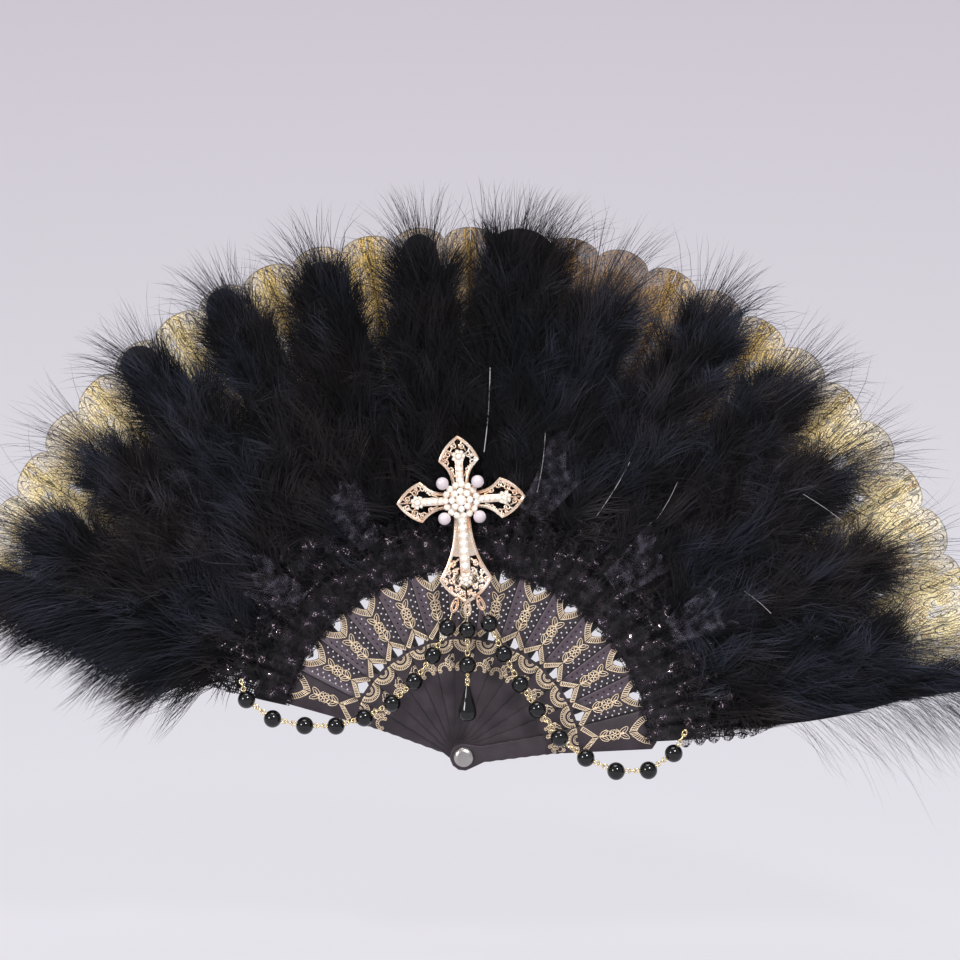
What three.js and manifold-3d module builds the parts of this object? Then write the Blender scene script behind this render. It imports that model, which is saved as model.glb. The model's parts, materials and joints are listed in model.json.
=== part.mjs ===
// Folding feather fan, opened, standing upright: millimetres, +Z up, front towards -Y, origin on the rivet's axis
// in the middle of the stack of sticks. Angles are counted from +X towards +Z, as seen from the front.
import * as THREE from 'three';
import { mergeVertices } from 'three/addons/utils/BufferGeometryUtils.js';
import Module from 'manifold-3d';

const wasm = await Module();
wasm.setup();
const degree = Math.PI / 180;

// Opening of the fan
const stickCount = 14;
const firstAngle = 8.5 * degree;
const openAngle = 150 * degree;

// Stack of sticks at the rivet
const guardThickness = 2;
const ribThickness = 0.8;
const layerGap = 0.3;

// Outline of one stick, along its length from the rivet
const headRadius = 6.2;
const neckRadius = 9;
const bladeRadius = 36;
const scrollRadius = 45.5;
const sunRadius = 52.7;
const wedgeRadius = 84.6;
const barWidth = 2.4;
const neckHalf = 3.6;
const bladeHalf = 4.25;
const waveDepth = 0.25;
const waveCount = 5;
const wedgeOverlap = 0.5;
const hiddenShare = 0.42;
const ribStripHalf = 2.5;
const ribStripEndHalf = 1.6;
const guardStripHalf = 3.75;
const stripInset = 6;

// Windows cut through each rib
const kiteRise = 0.7;
const kiteLength = 4.8;
const kiteHalf = 3.1;
const mouthDepth = 6.2;
const mouthHalf = 5.7;

// Rivet
const boreRadius = 1.8;
const pinRadius = 1.5;
const rivetHeadRadius = 4.5;
const rivetHeadHeight = 1.6;
const burrRadius = 3.5;
const burrThickness = 1.2;
const pinStub = 0.5;

// Pleated leaf
const leafRise = 5;
const leafOuter = 240;
const leafThickness = 0.5;
const pleatDepth = 5;
const scallopDepth = 7;
const ribLandHalf = 3.2;
const guardLandHalf = 4.2;
const seam = 0.15;

// Plumes
const plumeRise = 6;
const plumeReach = 16;
const plumeTrim = 18;
const plumeRoot = 1.5;
const plumeSwell = 6.5;
const plumeGapAngle = 0.17 * degree;
const rightHangAngle = 13 * degree;
const leftHangAngle = 17 * degree;

// Lace ruffle over the roots of the plumes
const laceLap = 0.3;
const laceDepth = 35.7;
const laceStart = 5 * degree;
const laceEnd = 165 * degree;
const lacePieces = 7;
const laceThickness = 0.8;
const ruffleDepth = 1.5;
const foldsPerPiece = 4;

// Cross ornament: its centre, its tilt and its outline
const crossX = -1.1;
const crossZ = 115.9;
const crossTilt = 3.5 * degree;
const frameThickness = 1.6;
const armLength = 29;
const footLength = 46.4;
const armNeckHalf = 3.1;
const armNeckAt = 7.7;
const armFlareHalf = 9;
const armFlareAt = 18;
const footNeckAt = 9;
const footFlareHalf = 11.7;
const footFlareAt = 35;
const pearlOffset = 7.9;
const pearlRadius = 2.85;
const clusterRadius = 7.4;
const clusterHeight = 2.2;
const stripStoneHalf = 1.3;
const stripStoneHeight = 1.1;
const endStoneRadius = 2.3;
const endStoneHeight = 1.9;
const stoneEndShare = 0.66;
const ornamentGap = 0.3;

// Bead chains and the drop
const beadRadius = 4;
const wireRadius = 0.45;
const dropRadius = 4.15;
const dropLength = 18;
const teardropHalf = 1.7;
const teardropLength = 6.5;
const pictureScale = 0.45;
const pivotPixel = [463.5, 757.5];
const leftBeadPixels = [
  [447.5, 627], [433, 655], [414, 681], [392, 703], [364, 718],
  [335.5, 726.5], [304, 726.5], [271.5, 720], [245, 701],
];
const rightBeadPixels = [
  [489, 623], [503.6, 653], [520, 683], [537, 708], [559, 736],
  [585, 756], [615, 769], [647, 768], [672, 751],
];
const leftHookPixel = [457, 598];
const rightHookPixel = [478, 596];
const leftEndPixel = [239, 681];
const rightEndPixel = [684, 728];
const centreBeadPixels = [[467.5, 629.5], [467.5, 664]];
const centreHookPixel = [467.5, 601];
const bailPixel = [467.5, 680];

// Sizes that follow from the ones above
const pitch = openAngle / (stickCount - 1);
const last = stickCount - 1;
const ribStep = ribThickness + layerGap;
const stackDepth = 2 * guardThickness + (stickCount - 2) * ribStep + layerGap;
const guardFront = -stackDepth / 2;
const guardBack = stackDepth / 2;
const angleOf = (k) => firstAngle + k * pitch;
const isGuard = (k) => k === 0 || k === last;
const thicknessOf = (k) => (isGuard(k) ? guardThickness : ribThickness);
const frontOf = (k) => (k === 0 ? guardFront : guardFront + guardThickness + layerGap + (k - 1) * ribStep);
const rampAt = (angle) => frontOf(1) - ribStep + (ribStep * (angle - firstAngle)) / pitch;
const wedgeHalf = (radius) => radius * Math.tan(pitch / 2) + wedgeOverlap;
const barRadius = wedgeRadius + barWidth;
const kiteBase = sunRadius + kiteRise;
const kiteTop = kiteBase + kiteLength;
const mouthApex = wedgeRadius - mouthDepth;
const leafInner = barRadius + leafRise;
const plumeInner = leafInner + plumeRise;
const plumeOuter = leafOuter + plumeReach;
const laceInner = wedgeRadius - laceLap;
const laceOuter = laceInner + laceDepth;

const group = new THREE.Group();

function finish(name, geometry, color, roughness, metalness) {
  const mesh = new THREE.Mesh(geometry, new THREE.MeshStandardMaterial({ color, roughness, metalness }));
  mesh.name = name;
  group.add(mesh);
  return mesh;
}

// Solids for cuts and joins
function toSolid(geometry) {
  const bare = geometry.clone();
  bare.deleteAttribute('normal');
  bare.deleteAttribute('uv');
  const merged = mergeVertices(bare);
  const vertProperties = new Float32Array(merged.attributes.position.array);
  const triVerts = new Uint32Array(merged.index.array);
  return new wasm.Manifold(new wasm.Mesh({ numProp: 3, vertProperties, triVerts }));
}

function toGeometry(solid) {
  const mesh = solid.getMesh();
  const positions = new Float32Array((mesh.vertProperties.length / mesh.numProp) * 3);
  for (let i = 0; i < positions.length / 3; i += 1) {
    for (let axis = 0; axis < 3; axis += 1) {
      positions[3 * i + axis] = mesh.vertProperties[mesh.numProp * i + axis];
    }
  }
  const geometry = new THREE.BufferGeometry();
  geometry.setAttribute('position', new THREE.BufferAttribute(positions, 3));
  geometry.setIndex(Array.from(mesh.triVerts));
  geometry.computeVertexNormals();
  return geometry;
}

const joined = (geometries) => toGeometry(geometries.map(toSolid).reduce((a, b) => a.add(b)));

// Plate cut from an outline in X and Z, its front face at Y front
function plate(outline, holes, front, thickness) {
  const points = outline.map(([x, z]) => new THREE.Vector2(x, z));
  if (THREE.ShapeUtils.isClockWise(points)) points.reverse();
  const shape = new THREE.Shape(points);
  for (const hole of holes) {
    shape.holes.push(new THREE.Path(hole.map(([x, z]) => new THREE.Vector2(x, z))));
  }
  const geometry = new THREE.ExtrudeGeometry(shape, { depth: thickness, bevelEnabled: false });
  geometry.rotateX(Math.PI / 2);
  geometry.translate(0, front + thickness, 0);
  return geometry;
}

const ring = (radius, sides, x = 0, z = 0) => Array.from({ length: sides }, (_, i) => {
  const turn = (2 * Math.PI * (i + 0.5)) / sides;
  return [x + radius * Math.cos(turn), z + radius * Math.sin(turn)];
});

// Closed quilt between a front and a back grid of points
function quilt(columns, rows, frontPoint, backPoint) {
  const positions = [];
  const index = [];
  const at = (side, i, j) => (side * columns + i) * rows + j;
  for (const point of [frontPoint, backPoint]) {
    for (let i = 0; i < columns; i += 1) {
      for (let j = 0; j < rows; j += 1) {
        positions.push(...point(i, j));
      }
    }
  }
  const quad = (a, b, c, d) => index.push(a, b, c, a, c, d);
  for (let i = 0; i + 1 < columns; i += 1) {
    for (let j = 0; j + 1 < rows; j += 1) {
      quad(at(0, i, j), at(0, i, j + 1), at(0, i + 1, j + 1), at(0, i + 1, j));
      quad(at(1, i, j), at(1, i + 1, j), at(1, i + 1, j + 1), at(1, i, j + 1));
    }
    quad(at(0, i, 0), at(0, i + 1, 0), at(1, i + 1, 0), at(1, i, 0));
    quad(at(0, i, rows - 1), at(1, i, rows - 1), at(1, i + 1, rows - 1), at(0, i + 1, rows - 1));
  }
  for (let j = 0; j + 1 < rows; j += 1) {
    quad(at(0, 0, j), at(1, 0, j), at(1, 0, j + 1), at(0, 0, j + 1));
    quad(at(0, columns - 1, j), at(0, columns - 1, j + 1), at(1, columns - 1, j + 1), at(1, columns - 1, j));
  }
  const geometry = new THREE.BufferGeometry();
  geometry.setAttribute('position', new THREE.BufferAttribute(new Float32Array(positions), 3));
  geometry.setIndex(index);
  geometry.computeVertexNormals();
  return geometry;
}

const polar = (radius, angle, y) => [radius * Math.cos(angle), y, radius * Math.sin(angle)];

// One stick: round head, wavy blade, scalloped scroll, wedge panel and the strip that carries the leaf
const scallopShares = [[0.15, 0.45], [0.4, 0.2], [0.65, 0.8], [0.85, 0.55]];

// A rib reaches on behind its right-hand neighbour by hiddenShare of the pitch; a guard is even on both sides
const hiddenAt = (k, radius) => (isGuard(k) ? 0 : hiddenShare * radius * Math.tan(pitch));

function stickSide(k, hidden) {
  const side = [];
  for (const turn of [-60, -30, 0, 30]) {
    side.push([headRadius * Math.cos(turn * degree), headRadius * Math.sin(turn * degree)]);
  }
  for (let i = 0; i <= 2 * waveCount; i += 1) {
    const share = i / (2 * waveCount);
    const half = neckHalf + (bladeHalf - neckHalf) * share + (i % 2 ? waveDepth : 0);
    side.push([half, neckRadius + (bladeRadius - neckRadius) * share]);
  }
  const scrollHalf = wedgeHalf(scrollRadius);
  for (const [along, out] of scallopShares) {
    side.push([bladeHalf + (scrollHalf - bladeHalf) * out, bladeRadius + (scrollRadius - bladeRadius) * along]);
  }
  const stripHalf = isGuard(k) ? guardStripHalf : ribStripHalf;
  const stripEndHalf = isGuard(k) ? guardStripHalf : ribStripEndHalf;
  const tip = wedgeHalf(wedgeRadius) + hidden * hiddenAt(k, wedgeRadius);
  side.push([scrollHalf, scrollRadius], [wedgeHalf(sunRadius) + hidden * hiddenAt(k, sunRadius), sunRadius]);
  side.push([tip, wedgeRadius], [(tip + stripHalf) / 2, barRadius], [stripHalf, barRadius + barWidth / 2]);
  side.push([stripEndHalf, leafOuter - stripInset]);
  return side;
}

function stickOutline(k) {
  const left = stickSide(k, 0).reverse().map(([x, z]) => [-x, z]);
  return [[0, -headRadius], ...stickSide(k, 1), ...left];
}

function stickHoles(k) {
  const holes = [ring(boreRadius, 8)];
  if (!isGuard(k)) {
    const kiteShoulder = kiteBase + (kiteTop - kiteBase) / 3;
    const kiteFoot = kiteHalf * 0.7;
    holes.push([[-kiteFoot, kiteBase], [kiteFoot, kiteBase], [kiteHalf, kiteShoulder],
      [0, kiteTop], [-kiteHalf, kiteShoulder]]);
    const mouthTop = wedgeRadius;
    holes.push([[0, mouthApex], [mouthHalf, mouthTop - barWidth / 2], [mouthHalf, mouthTop],
      [-mouthHalf, mouthTop], [-mouthHalf, mouthTop - barWidth / 2]]);
  }
  return holes;
}

function addStick(k, name) {
  const geometry = plate(stickOutline(k), stickHoles(k), frontOf(k), thicknessOf(k));
  const mesh = finish(name, geometry, 0x2a262b, 0.42, 0);
  mesh.rotation.y = Math.PI / 2 - angleOf(k);
}

const stickName = (k) => {
  if (k === 0) return 'guard_front';
  if (k === last) return 'guard_back';
  return `rib_${String(k).padStart(2, '0')}`;
};
for (let k = 0; k < stickCount; k += 1) addStick(k, stickName(k));

// Rivet: head and shank in one, and the burr that it is peened over
function turned(profile) {
  const points = profile.map(([radius, y]) => new THREE.Vector2(radius, y));
  return new THREE.LatheGeometry(points, 12);
}
const headBack = guardFront - layerGap;
const burrFront = guardBack + layerGap;
const pinEnd = burrFront + burrThickness + pinStub;
finish('rivet_pin', turned([
  [0, pinEnd], [pinRadius, pinEnd], [pinRadius, headBack], [rivetHeadRadius, headBack],
  [rivetHeadRadius, headBack - rivetHeadHeight / 3], [rivetHeadRadius * 0.6, headBack - rivetHeadHeight],
  [0, headBack - rivetHeadHeight],
].reverse()), 0x8f8a86, 0.35, 0.9);
finish('rivet_burr', turned([
  [boreRadius, burrFront], [burrRadius, burrFront], [burrRadius, burrFront + burrThickness],
  [boreRadius, burrFront + burrThickness], [boreRadius, burrFront],
]), 0x8f8a86, 0.35, 0.9);

// Leaf: one panel between each two sticks, glued flat on the sticks with one fold standing forward between them
const landFront = (k) => (k === 0 ? guardFront + guardThickness + layerGap : frontOf(k) - layerGap - leafThickness);
const landHalf = (k) => (isGuard(k) ? guardLandHalf : ribLandHalf);
const depthAt = (radius) => (pleatDepth * (radius - leafInner)) / (leafOuter - leafInner);
const leafRowShares = [0, 0.33, 0.67, 1];
const rimShares = [0, 0.1, 1, 0, 1, 0.1, 0];

function leafPoint(j, column, row, back) {
  const rim = leafOuter - scallopDepth * rimShares[column];
  const radius = leafInner + (rim - leafInner) * leafRowShares[row];
  const from = angleOf(j - 1);
  const to = angleOf(j);
  const mid = (from + to) / 2;
  const a = from + landHalf(j - 1) / radius;
  const b = to - landHalf(j) / radius;
  const angle = [from + seam / radius, a, (a + mid) / 2, mid, (mid + b) / 2, b, to - seam / radius][column];
  const crest = (landFront(j - 1) + landFront(j)) / 2 - depthAt(radius);
  const y = [landFront(j - 1), landFront(j - 1), (landFront(j - 1) + crest) / 2, crest,
    (crest + landFront(j)) / 2, landFront(j), landFront(j)][column];
  return polar(radius, angle, y + (back ? leafThickness : 0));
}

for (let j = 1; j < stickCount; j += 1) {
  const geometry = quilt(7, leafRowShares.length, (i, row) => leafPoint(j, i, row, false),
    (i, row) => leafPoint(j, i, row, true));
  finish(`leaf_${String(j).padStart(2, '0')}`, geometry, 0x6a5a2c, 0.6, 0.2);
}

// Plumes: one over each fold of the leaf, swelling to the middle of their length, and one hanging past each guard
const clearOfLeaf = layerGap + leafThickness + layerGap / 2 + layerGap;
const ramped = (value, from, to) => Math.min(1, Math.max(0, (value - from) / (to - from)));
const plumeBack = (radius, angle) => rampAt(angle) - clearOfLeaf - depthAt(radius);
function plumeDepth(radius) {
  const share = (radius - plumeInner) / (plumeOuter - plumeInner);
  return plumeRoot + plumeSwell * Math.sin(Math.PI * Math.min(1, Math.max(0, share))) ** 0.8;
}
const rootShare = (laceOuter - plumeInner) / (plumeOuter - plumeInner);
const plumeRowShares = [0, rootShare / 2, rootShare, 0.3, 0.5, 0.7, 0.87, 1];
const plumeWidthShares = [1, 1, 1, 1, 1, 0.92, 0.66, 0.28];
const rightHangShares = [0.15, 0.3, 0.5, 0.85, 1, 0.85, 0.6, 0.3];
const leftHangShares = [0.7, 0.9, 1, 0.95, 0.8, 0.6, 0.42, 0.2];
const plumeEdgeShares = [0.35, 0.85, 1, 0.85, 0.35];
const plumeTrimShares = [0.7, 0.8, 0, 0.55, 0.1, 0.4, 0, 0.2, 0.5, 0.1, 0.6, 0.25, 0.7, 0.45, 0.6];
const besideGuard = (radius) => (guardStripHalf + layerGap) / radius;

function plumeSpan(k, j, radius) {
  if (k === 0) {
    const high = firstAngle - besideGuard(radius);
    return [high - rightHangAngle * rightHangShares[j], high];
  }
  if (k === stickCount) {
    const low = angleOf(last) + plumeGapAngle / 2;
    return [low, low + leftHangAngle * leftHangShares[j]];
  }
  const middle = angleOf(k) - pitch / 2;
  const half = (pitch / 2 - plumeGapAngle / 2) * plumeWidthShares[j];
  const low = middle - half;
  return [k === 1 ? Math.max(low, firstAngle + besideGuard(radius)) : low, middle + half];
}

function plumePoint(k, i, j, back) {
  const share = plumeRowShares[j];
  const reach = plumeOuter - plumeInner - (j < 3 ? 0 : plumeTrim * plumeTrimShares[k]);
  const radius = plumeInner + reach * share;
  const [low, high] = plumeSpan(k, j, radius);
  const angle = low + ((high - low) * i) / 4;
  const y = plumeBack(radius, angle) - (back ? 0 : plumeDepth(radius) * plumeEdgeShares[i]);
  return polar(radius, angle, y);
}

for (let k = 0; k <= stickCount; k += 1) {
  const geometry = quilt(5, plumeRowShares.length, (i, j) => plumePoint(k, i, j, false),
    (i, j) => plumePoint(k, i, j, true));
  finish(`plume_${String(k).padStart(2, '0')}`, geometry, 0x0d0e12, 0.85, 0);
}

// Lace: a ruffled band over the ends of the wedges and the roots of the plumes
const laceRows = [laceInner, (laceInner + leafInner) / 2 + barWidth / 2, leafInner + barWidth * 1.6,
  plumeInner, (plumeInner + laceOuter) / 2, laceOuter];
const laceStep = (angle) => guardThickness * 0.7 * ramped(firstAngle + pitch * 0.9 - angle, 0, pitch / 3);
function laceBack(radius, angle, row) {
  if (row < 2) return rampAt(angle) - ribStep / 2 - layerGap * 1.2 - laceStep(angle) * 0.95;
  const root = Math.max(radius, plumeInner);
  return plumeBack(root, angle) - plumeDepth(root) - layerGap - laceStep(angle) / 4;
}
const laceSpan = (laceEnd - laceStart) / lacePieces;
const laceColumns = foldsPerPiece * 4 + 1;
const foldShares = [0, 0.6, 1, 0.6];

function lacePoint(piece, i, j, back) {
  const radius = laceRows[j];
  const inset = layerGap / 2 / radius;
  const from = laceStart + piece * laceSpan + inset;
  const angle = from + ((laceSpan - 2 * inset) * i) / (laceColumns - 1);
  const fold = ruffleDepth * foldShares[i % 4] * (j / (laceRows.length - 1));
  const y = laceBack(radius, angle, j) - fold - (back ? 0 : laceThickness);
  return polar(radius, angle, y);
}

for (let piece = 0; piece < lacePieces; piece += 1) {
  const geometry = quilt(laceColumns, laceRows.length, (i, j) => lacePoint(piece, i, j, false),
    (i, j) => lacePoint(piece, i, j, true));
  finish(`lace_${String(piece + 1).padStart(2, '0')}`, geometry, 0x131316, 0.8, 0);
}

// Cross: a pierced flat frame in front of the lace, and the stones set on it
const crossArmAngle = Math.atan2(crossZ, crossX + armLength);
const crossBackY = laceBack(laceOuter, crossArmAngle, laceRows.length - 1) - laceThickness - ruffleDepth - ornamentGap;
const crossFrontY = crossBackY - frameThickness;
const flareShares = [[0.45, 0.16], [0.78, 0.48], [1, 1]];

const tipShares = [[0.68, 0.6]];
const footTipShares = [[0.72, 0.5], [0.43, 0.83]];

function armSide(neckAt, flareAt, flareHalf, length) {
  const side = [[armNeckHalf, neckAt]];
  for (const [along, out] of flareShares) {
    side.push([armNeckHalf + (flareHalf - armNeckHalf) * out, neckAt + (flareAt - neckAt) * along]);
  }
  for (const [out, along] of length === footLength ? footTipShares : tipShares) {
    side.push([flareHalf * out, flareAt + (length - flareAt) * along]);
  }
  side.push([0, length]);
  return side;
}

function armOutline(neckAt, flareAt, flareHalf, length) {
  const side = armSide(neckAt, flareAt, flareHalf, length);
  return [[0, 0], [armNeckHalf, 0], ...side, ...side.filter(([x]) => x > 0).reverse().map(([x, z]) => [-x, z]),
    [-armNeckHalf, 0]];
}

// Openings of the filigree, each side of an arm's row of stones, in shares of the flare
const openingShares = [
  [[0.26, 0.62], [0.62, 0.9], [0.56, 1.06], [0.26, 0.86]],
  [[0.25, 1.0], [0.5, 1.08], [0.3, 1.3], [0.14, 1.22]],
];
const footOpeningShares = [
  [[0.3, 0.66], [0.6, 0.88], [0.66, 1.0], [0.3, 0.84]],
  [[0.28, 0.94], [0.55, 1.06], [0.3, 1.14]],
];

function placedArm(points, turn) {
  const cos = Math.cos(turn);
  const sin = Math.sin(turn);
  return points.map(([x, z]) => [crossX + x * cos - z * sin, crossZ + x * sin + z * cos]);
}

const pearlPlaces = [[1, 1], [-1, 1], [-1, -1], [1, -1]].map(([x, z]) => [x * pearlOffset, z * pearlOffset]);

// Bars that carry the four pearls
function diagonals(front, thickness) {
  const half = pearlRadius / 2;
  const reach = pearlOffset * Math.SQRT2;
  return [1, -1].map((hand) => plate(placedArm([[-half, -reach], [half, -reach], [half, reach], [-half, reach]],
    (hand * Math.PI) / 4 + crossTilt), [], front, thickness));
}

function crossFrame() {
  const cuts = [];
  const parts = [];
  const arms = [0, 1, 3].map((quarter) => [quarter * Math.PI / 2, armNeckAt, armFlareAt, armFlareHalf, armLength]);
  arms.push([Math.PI, footNeckAt, footFlareAt, footFlareHalf, footLength]);
  for (const [turn, neckAt, flareAt, flareHalf, length] of arms) {
    parts.push(plate(placedArm(armOutline(neckAt, flareAt, flareHalf, length), turn + crossTilt), [],
      crossFrontY, frameThickness));
    for (const opening of turn === Math.PI ? footOpeningShares : openingShares) {
      for (const hand of [1, -1]) {
        const points = opening.map(([x, z]) => [hand * x * flareHalf, z * flareAt]);
        if (hand < 0) points.reverse();
        cuts.push(plate(placedArm(points, turn + crossTilt), [], crossFrontY - frameThickness, 3 * frameThickness));
      }
    }
  }
  parts.push(plate(ring(clusterRadius, 16, crossX, crossZ), [], crossFrontY, frameThickness));
  for (const [x, z] of placedArm(pearlPlaces, crossTilt)) {
    parts.push(plate(ring(pearlRadius * 0.8, 8, x, z), [], crossFrontY, frameThickness));
  }
  parts.push(...diagonals(crossFrontY, frameThickness));
  return toGeometry(cuts.map(toSolid).reduce((a, b) => a.subtract(b), parts.map(toSolid).reduce((a, b) => a.add(b))));
}


// Stones: a domed cluster, a row of stones along each arm, an end stone on each arm and four pearls
const stoneBackY = crossFrontY - ornamentGap;
function dome(radius, height, x, z, sides) {
  const shares = [[0, 1], [0.4, 0.95], [0.8, 0.7], [1, 0.35], [1, 0], [0, 0]];
  const geometry = new THREE.LatheGeometry(shares.map(([out, up]) =>
    new THREE.Vector2(out * radius, -up * height)), sides);
  geometry.translate(x, stoneBackY, z);
  return geometry;
}

function crossStones() {
  const footReach = footFlareAt * 1.02;
  const armReach = armLength * stoneEndShare;
  const parts = [
    plate(placedArm([[-stripStoneHalf, -footReach], [stripStoneHalf, -footReach], [stripStoneHalf, armReach],
      [-stripStoneHalf, armReach]], crossTilt), [], stoneBackY - stripStoneHeight, stripStoneHeight),
    plate(placedArm([[-armReach, -stripStoneHalf], [armReach, -stripStoneHalf], [armReach, stripStoneHalf],
      [-armReach, stripStoneHalf]], crossTilt), [], stoneBackY - stripStoneHeight, stripStoneHeight),
    dome(clusterRadius, clusterHeight, crossX, crossZ, 12),
  ];
  const ends = [[0, armReach], [armReach, 0], [-armReach, 0], [0, -footReach]];
  for (const [x, z] of placedArm(ends, crossTilt)) parts.push(dome(endStoneRadius, endStoneHeight, x, z, 8));
  for (const [x, z] of placedArm(pearlPlaces, crossTilt)) {
    const pearl = new THREE.SphereGeometry(pearlRadius, 8, 6);
    pearl.translate(x, stoneBackY - pearlRadius, z);
    parts.push(pearl);
  }
  parts.push(...diagonals(stoneBackY - stripStoneHeight, stripStoneHeight));
  return joined(parts);
}

finish('cross_frame', crossFrame(), 0xd8ad86, 0.3, 0.95);
finish('cross_stones', crossStones(), 0xf3ead9, 0.12, 0);

// Bead chains: black beads on short wires, hung from the cross and caught at the ends of the lace
const place = ([px, py], y) => new THREE.Vector3((px - pivotPixel[0]) * pictureScale, y,
  (pivotPixel[1] - py) * pictureScale);
const chainY = crossFrontY - ornamentGap - wireRadius;

function wire(a, b, radius = wireRadius) {
  const along = new THREE.Vector3().subVectors(b, a);
  const geometry = new THREE.CylinderGeometry(radius, radius, along.length(), 6);
  geometry.applyQuaternion(new THREE.Quaternion().setFromUnitVectors(new THREE.Vector3(0, 1, 0),
    along.clone().normalize()));
  const mid = new THREE.Vector3().addVectors(a, b).multiplyScalar(0.5);
  geometry.translate(mid.x, mid.y, mid.z);
  return geometry;
}

function bead(at) {
  const geometry = new THREE.SphereGeometry(beadRadius, 10, 6);
  geometry.translate(at.x, at.y, at.z);
  return geometry;
}

// Drop-shaped flat link with a drop-shaped eye, hanging from hook towards the next bead
const linkShares = [[0, 0], [0.55, 0.3], [1, 0.62], [0.75, 0.9], [0, 1]];
function teardrop(hook, towards) {
  const outer = linkShares.map(([x, z]) => [x * teardropHalf, -z * teardropLength]);
  const eye = linkShares.map(([x, z]) => [x * teardropHalf * 0.5, -(0.28 + z * 0.56) * teardropLength]);
  const close = (side) => [...side, ...side.slice(1, -1).reverse().map(([x, z]) => [-x, z])];
  const geometry = plate(close(outer), [close(eye)], -wireRadius, 2 * wireRadius);
  const along = new THREE.Vector3().subVectors(towards, hook);
  geometry.rotateY(Math.atan2(-along.x, -along.z));
  geometry.translate(hook.x, hook.y, hook.z);
  return geometry;
}

function chain(hookPixel, beadPixels, endPixel, endDepth) {
  const span = beadPixels.length;
  const depth = (i) => chainY + (endDepth * i) / span;
  const hook = place(hookPixel, chainY);
  const beads = beadPixels.map((pixel, i) => place(pixel, depth(i)));
  const end = place(endPixel, depth(span));
  const points = [...beads, end];
  const parts = [teardrop(hook, beads[0]), ...beads.map(bead)];
  const foot = hook.clone().lerp(beads[0], (0.93 * teardropLength) / hook.distanceTo(beads[0]));
  parts.push(wire(foot, beads[0]));
  for (let i = 0; i + 1 < points.length; i += 1) parts.push(wire(points[i], points[i + 1]));
  return joined(parts);
}

function endDepth(pixel) {
  const { x, z } = place(pixel, 0);
  const laceFace = laceBack(Math.hypot(x, z), Math.atan2(z, x), laceRows.length - 1) - laceThickness - ruffleDepth;
  return laceFace - ornamentGap - wireRadius - chainY;
}
for (const [name, hook, beads, end] of [
  ['bead_swag_left', leftHookPixel, leftBeadPixels, leftEndPixel],
  ['bead_swag_right', rightHookPixel, rightBeadPixels, rightEndPixel],
]) {
  finish(name, chain(hook, beads, end, endDepth(end)), 0x0b0b0e, 0.08, 0);
}

// Centre pendant: a link, two beads and the bail's eye, then the black drop under its own bail
const bail = place(bailPixel, chainY);
const eyeGap = ornamentGap;
function pendantBeads() {
  const hook = place(centreHookPixel, chainY);
  const beads = centreBeadPixels.map((pixel) => place(pixel, chainY));
  const foot = hook.clone().lerp(beads[0], (0.93 * teardropLength) / hook.distanceTo(beads[0]));
  const eye = bail.clone();
  eye.z += eyeGap / 2;
  return joined([teardrop(hook, beads[0]), ...beads.map(bead), wire(foot, beads[0]), wire(beads[0], beads[1]),
    wire(beads[1], eye)]);
}

function pendantDrop() {
  const shares = [[0, 0], [0.16, 0.02], [0.3, 0.16], [0.55, 0.38], [0.85, 0.6], [1, 0.78], [0.8, 0.93], [0, 1]];
  const top = bail.z - eyeGap / 2;
  const points = shares.map(([out, down]) => new THREE.Vector2(out * dropRadius, -down * dropLength));
  const geometry = new THREE.LatheGeometry(points.reverse(), 12);
  geometry.rotateX(Math.PI / 2);
  geometry.translate(bail.x, bail.y, top);
  return geometry;
}
finish('pendant_beads', pendantBeads(), 0x0b0b0e, 0.08, 0);
finish('pendant_drop', pendantDrop(), 0x0b0b0e, 0.08, 0);

export default group;
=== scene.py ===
import json
import math

import bpy
import numpy as np
from mathutils import Matrix, Vector


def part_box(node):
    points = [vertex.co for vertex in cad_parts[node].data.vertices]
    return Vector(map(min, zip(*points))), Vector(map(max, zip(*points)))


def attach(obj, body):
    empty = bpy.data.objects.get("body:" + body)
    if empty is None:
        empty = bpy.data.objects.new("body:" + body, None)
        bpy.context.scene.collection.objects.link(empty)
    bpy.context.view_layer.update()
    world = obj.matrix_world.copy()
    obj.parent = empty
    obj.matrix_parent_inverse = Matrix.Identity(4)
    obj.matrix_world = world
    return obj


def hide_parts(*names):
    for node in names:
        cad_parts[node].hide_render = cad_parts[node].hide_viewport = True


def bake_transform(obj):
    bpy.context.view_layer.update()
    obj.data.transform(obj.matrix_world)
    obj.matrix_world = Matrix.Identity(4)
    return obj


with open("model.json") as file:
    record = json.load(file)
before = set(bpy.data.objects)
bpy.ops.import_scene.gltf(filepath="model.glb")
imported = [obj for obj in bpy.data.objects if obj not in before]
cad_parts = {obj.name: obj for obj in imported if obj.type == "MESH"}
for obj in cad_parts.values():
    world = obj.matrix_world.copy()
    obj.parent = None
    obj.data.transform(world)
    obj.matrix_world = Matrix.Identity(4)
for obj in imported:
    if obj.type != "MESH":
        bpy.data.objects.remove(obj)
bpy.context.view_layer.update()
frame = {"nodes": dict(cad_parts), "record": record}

# Sizes of the fan, in millimetres and radians, as its frame has them
MM = 0.001
FIRST_ANGLE = math.radians(8.5)
PITCH = math.radians(150) / 13
STICKS = ["guard_front"] + [f"rib_{k:02d}" for k in range(1, 13)] + ["guard_back"]
GUARD_THICK = 2.0
RIB_THICK = 0.8
LAYER_GAP = 0.3
RIB_STEP = RIB_THICK + LAYER_GAP
GUARD_FRONT = -(2 * GUARD_THICK + 12 * RIB_STEP + LAYER_GAP) / 2
LEAF_INNER = 92.0
LEAF_OUTER = 240.0
LEAF_THICK = 0.5
LAND_HALF = 3.2
PLEAT_DEPTH = 5.0
SCALLOP_DEPTH = 7.0
PLUME_INNER = 98.0
PLUME_OUTER = 256.0
LACE_INNER = 84.3
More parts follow.
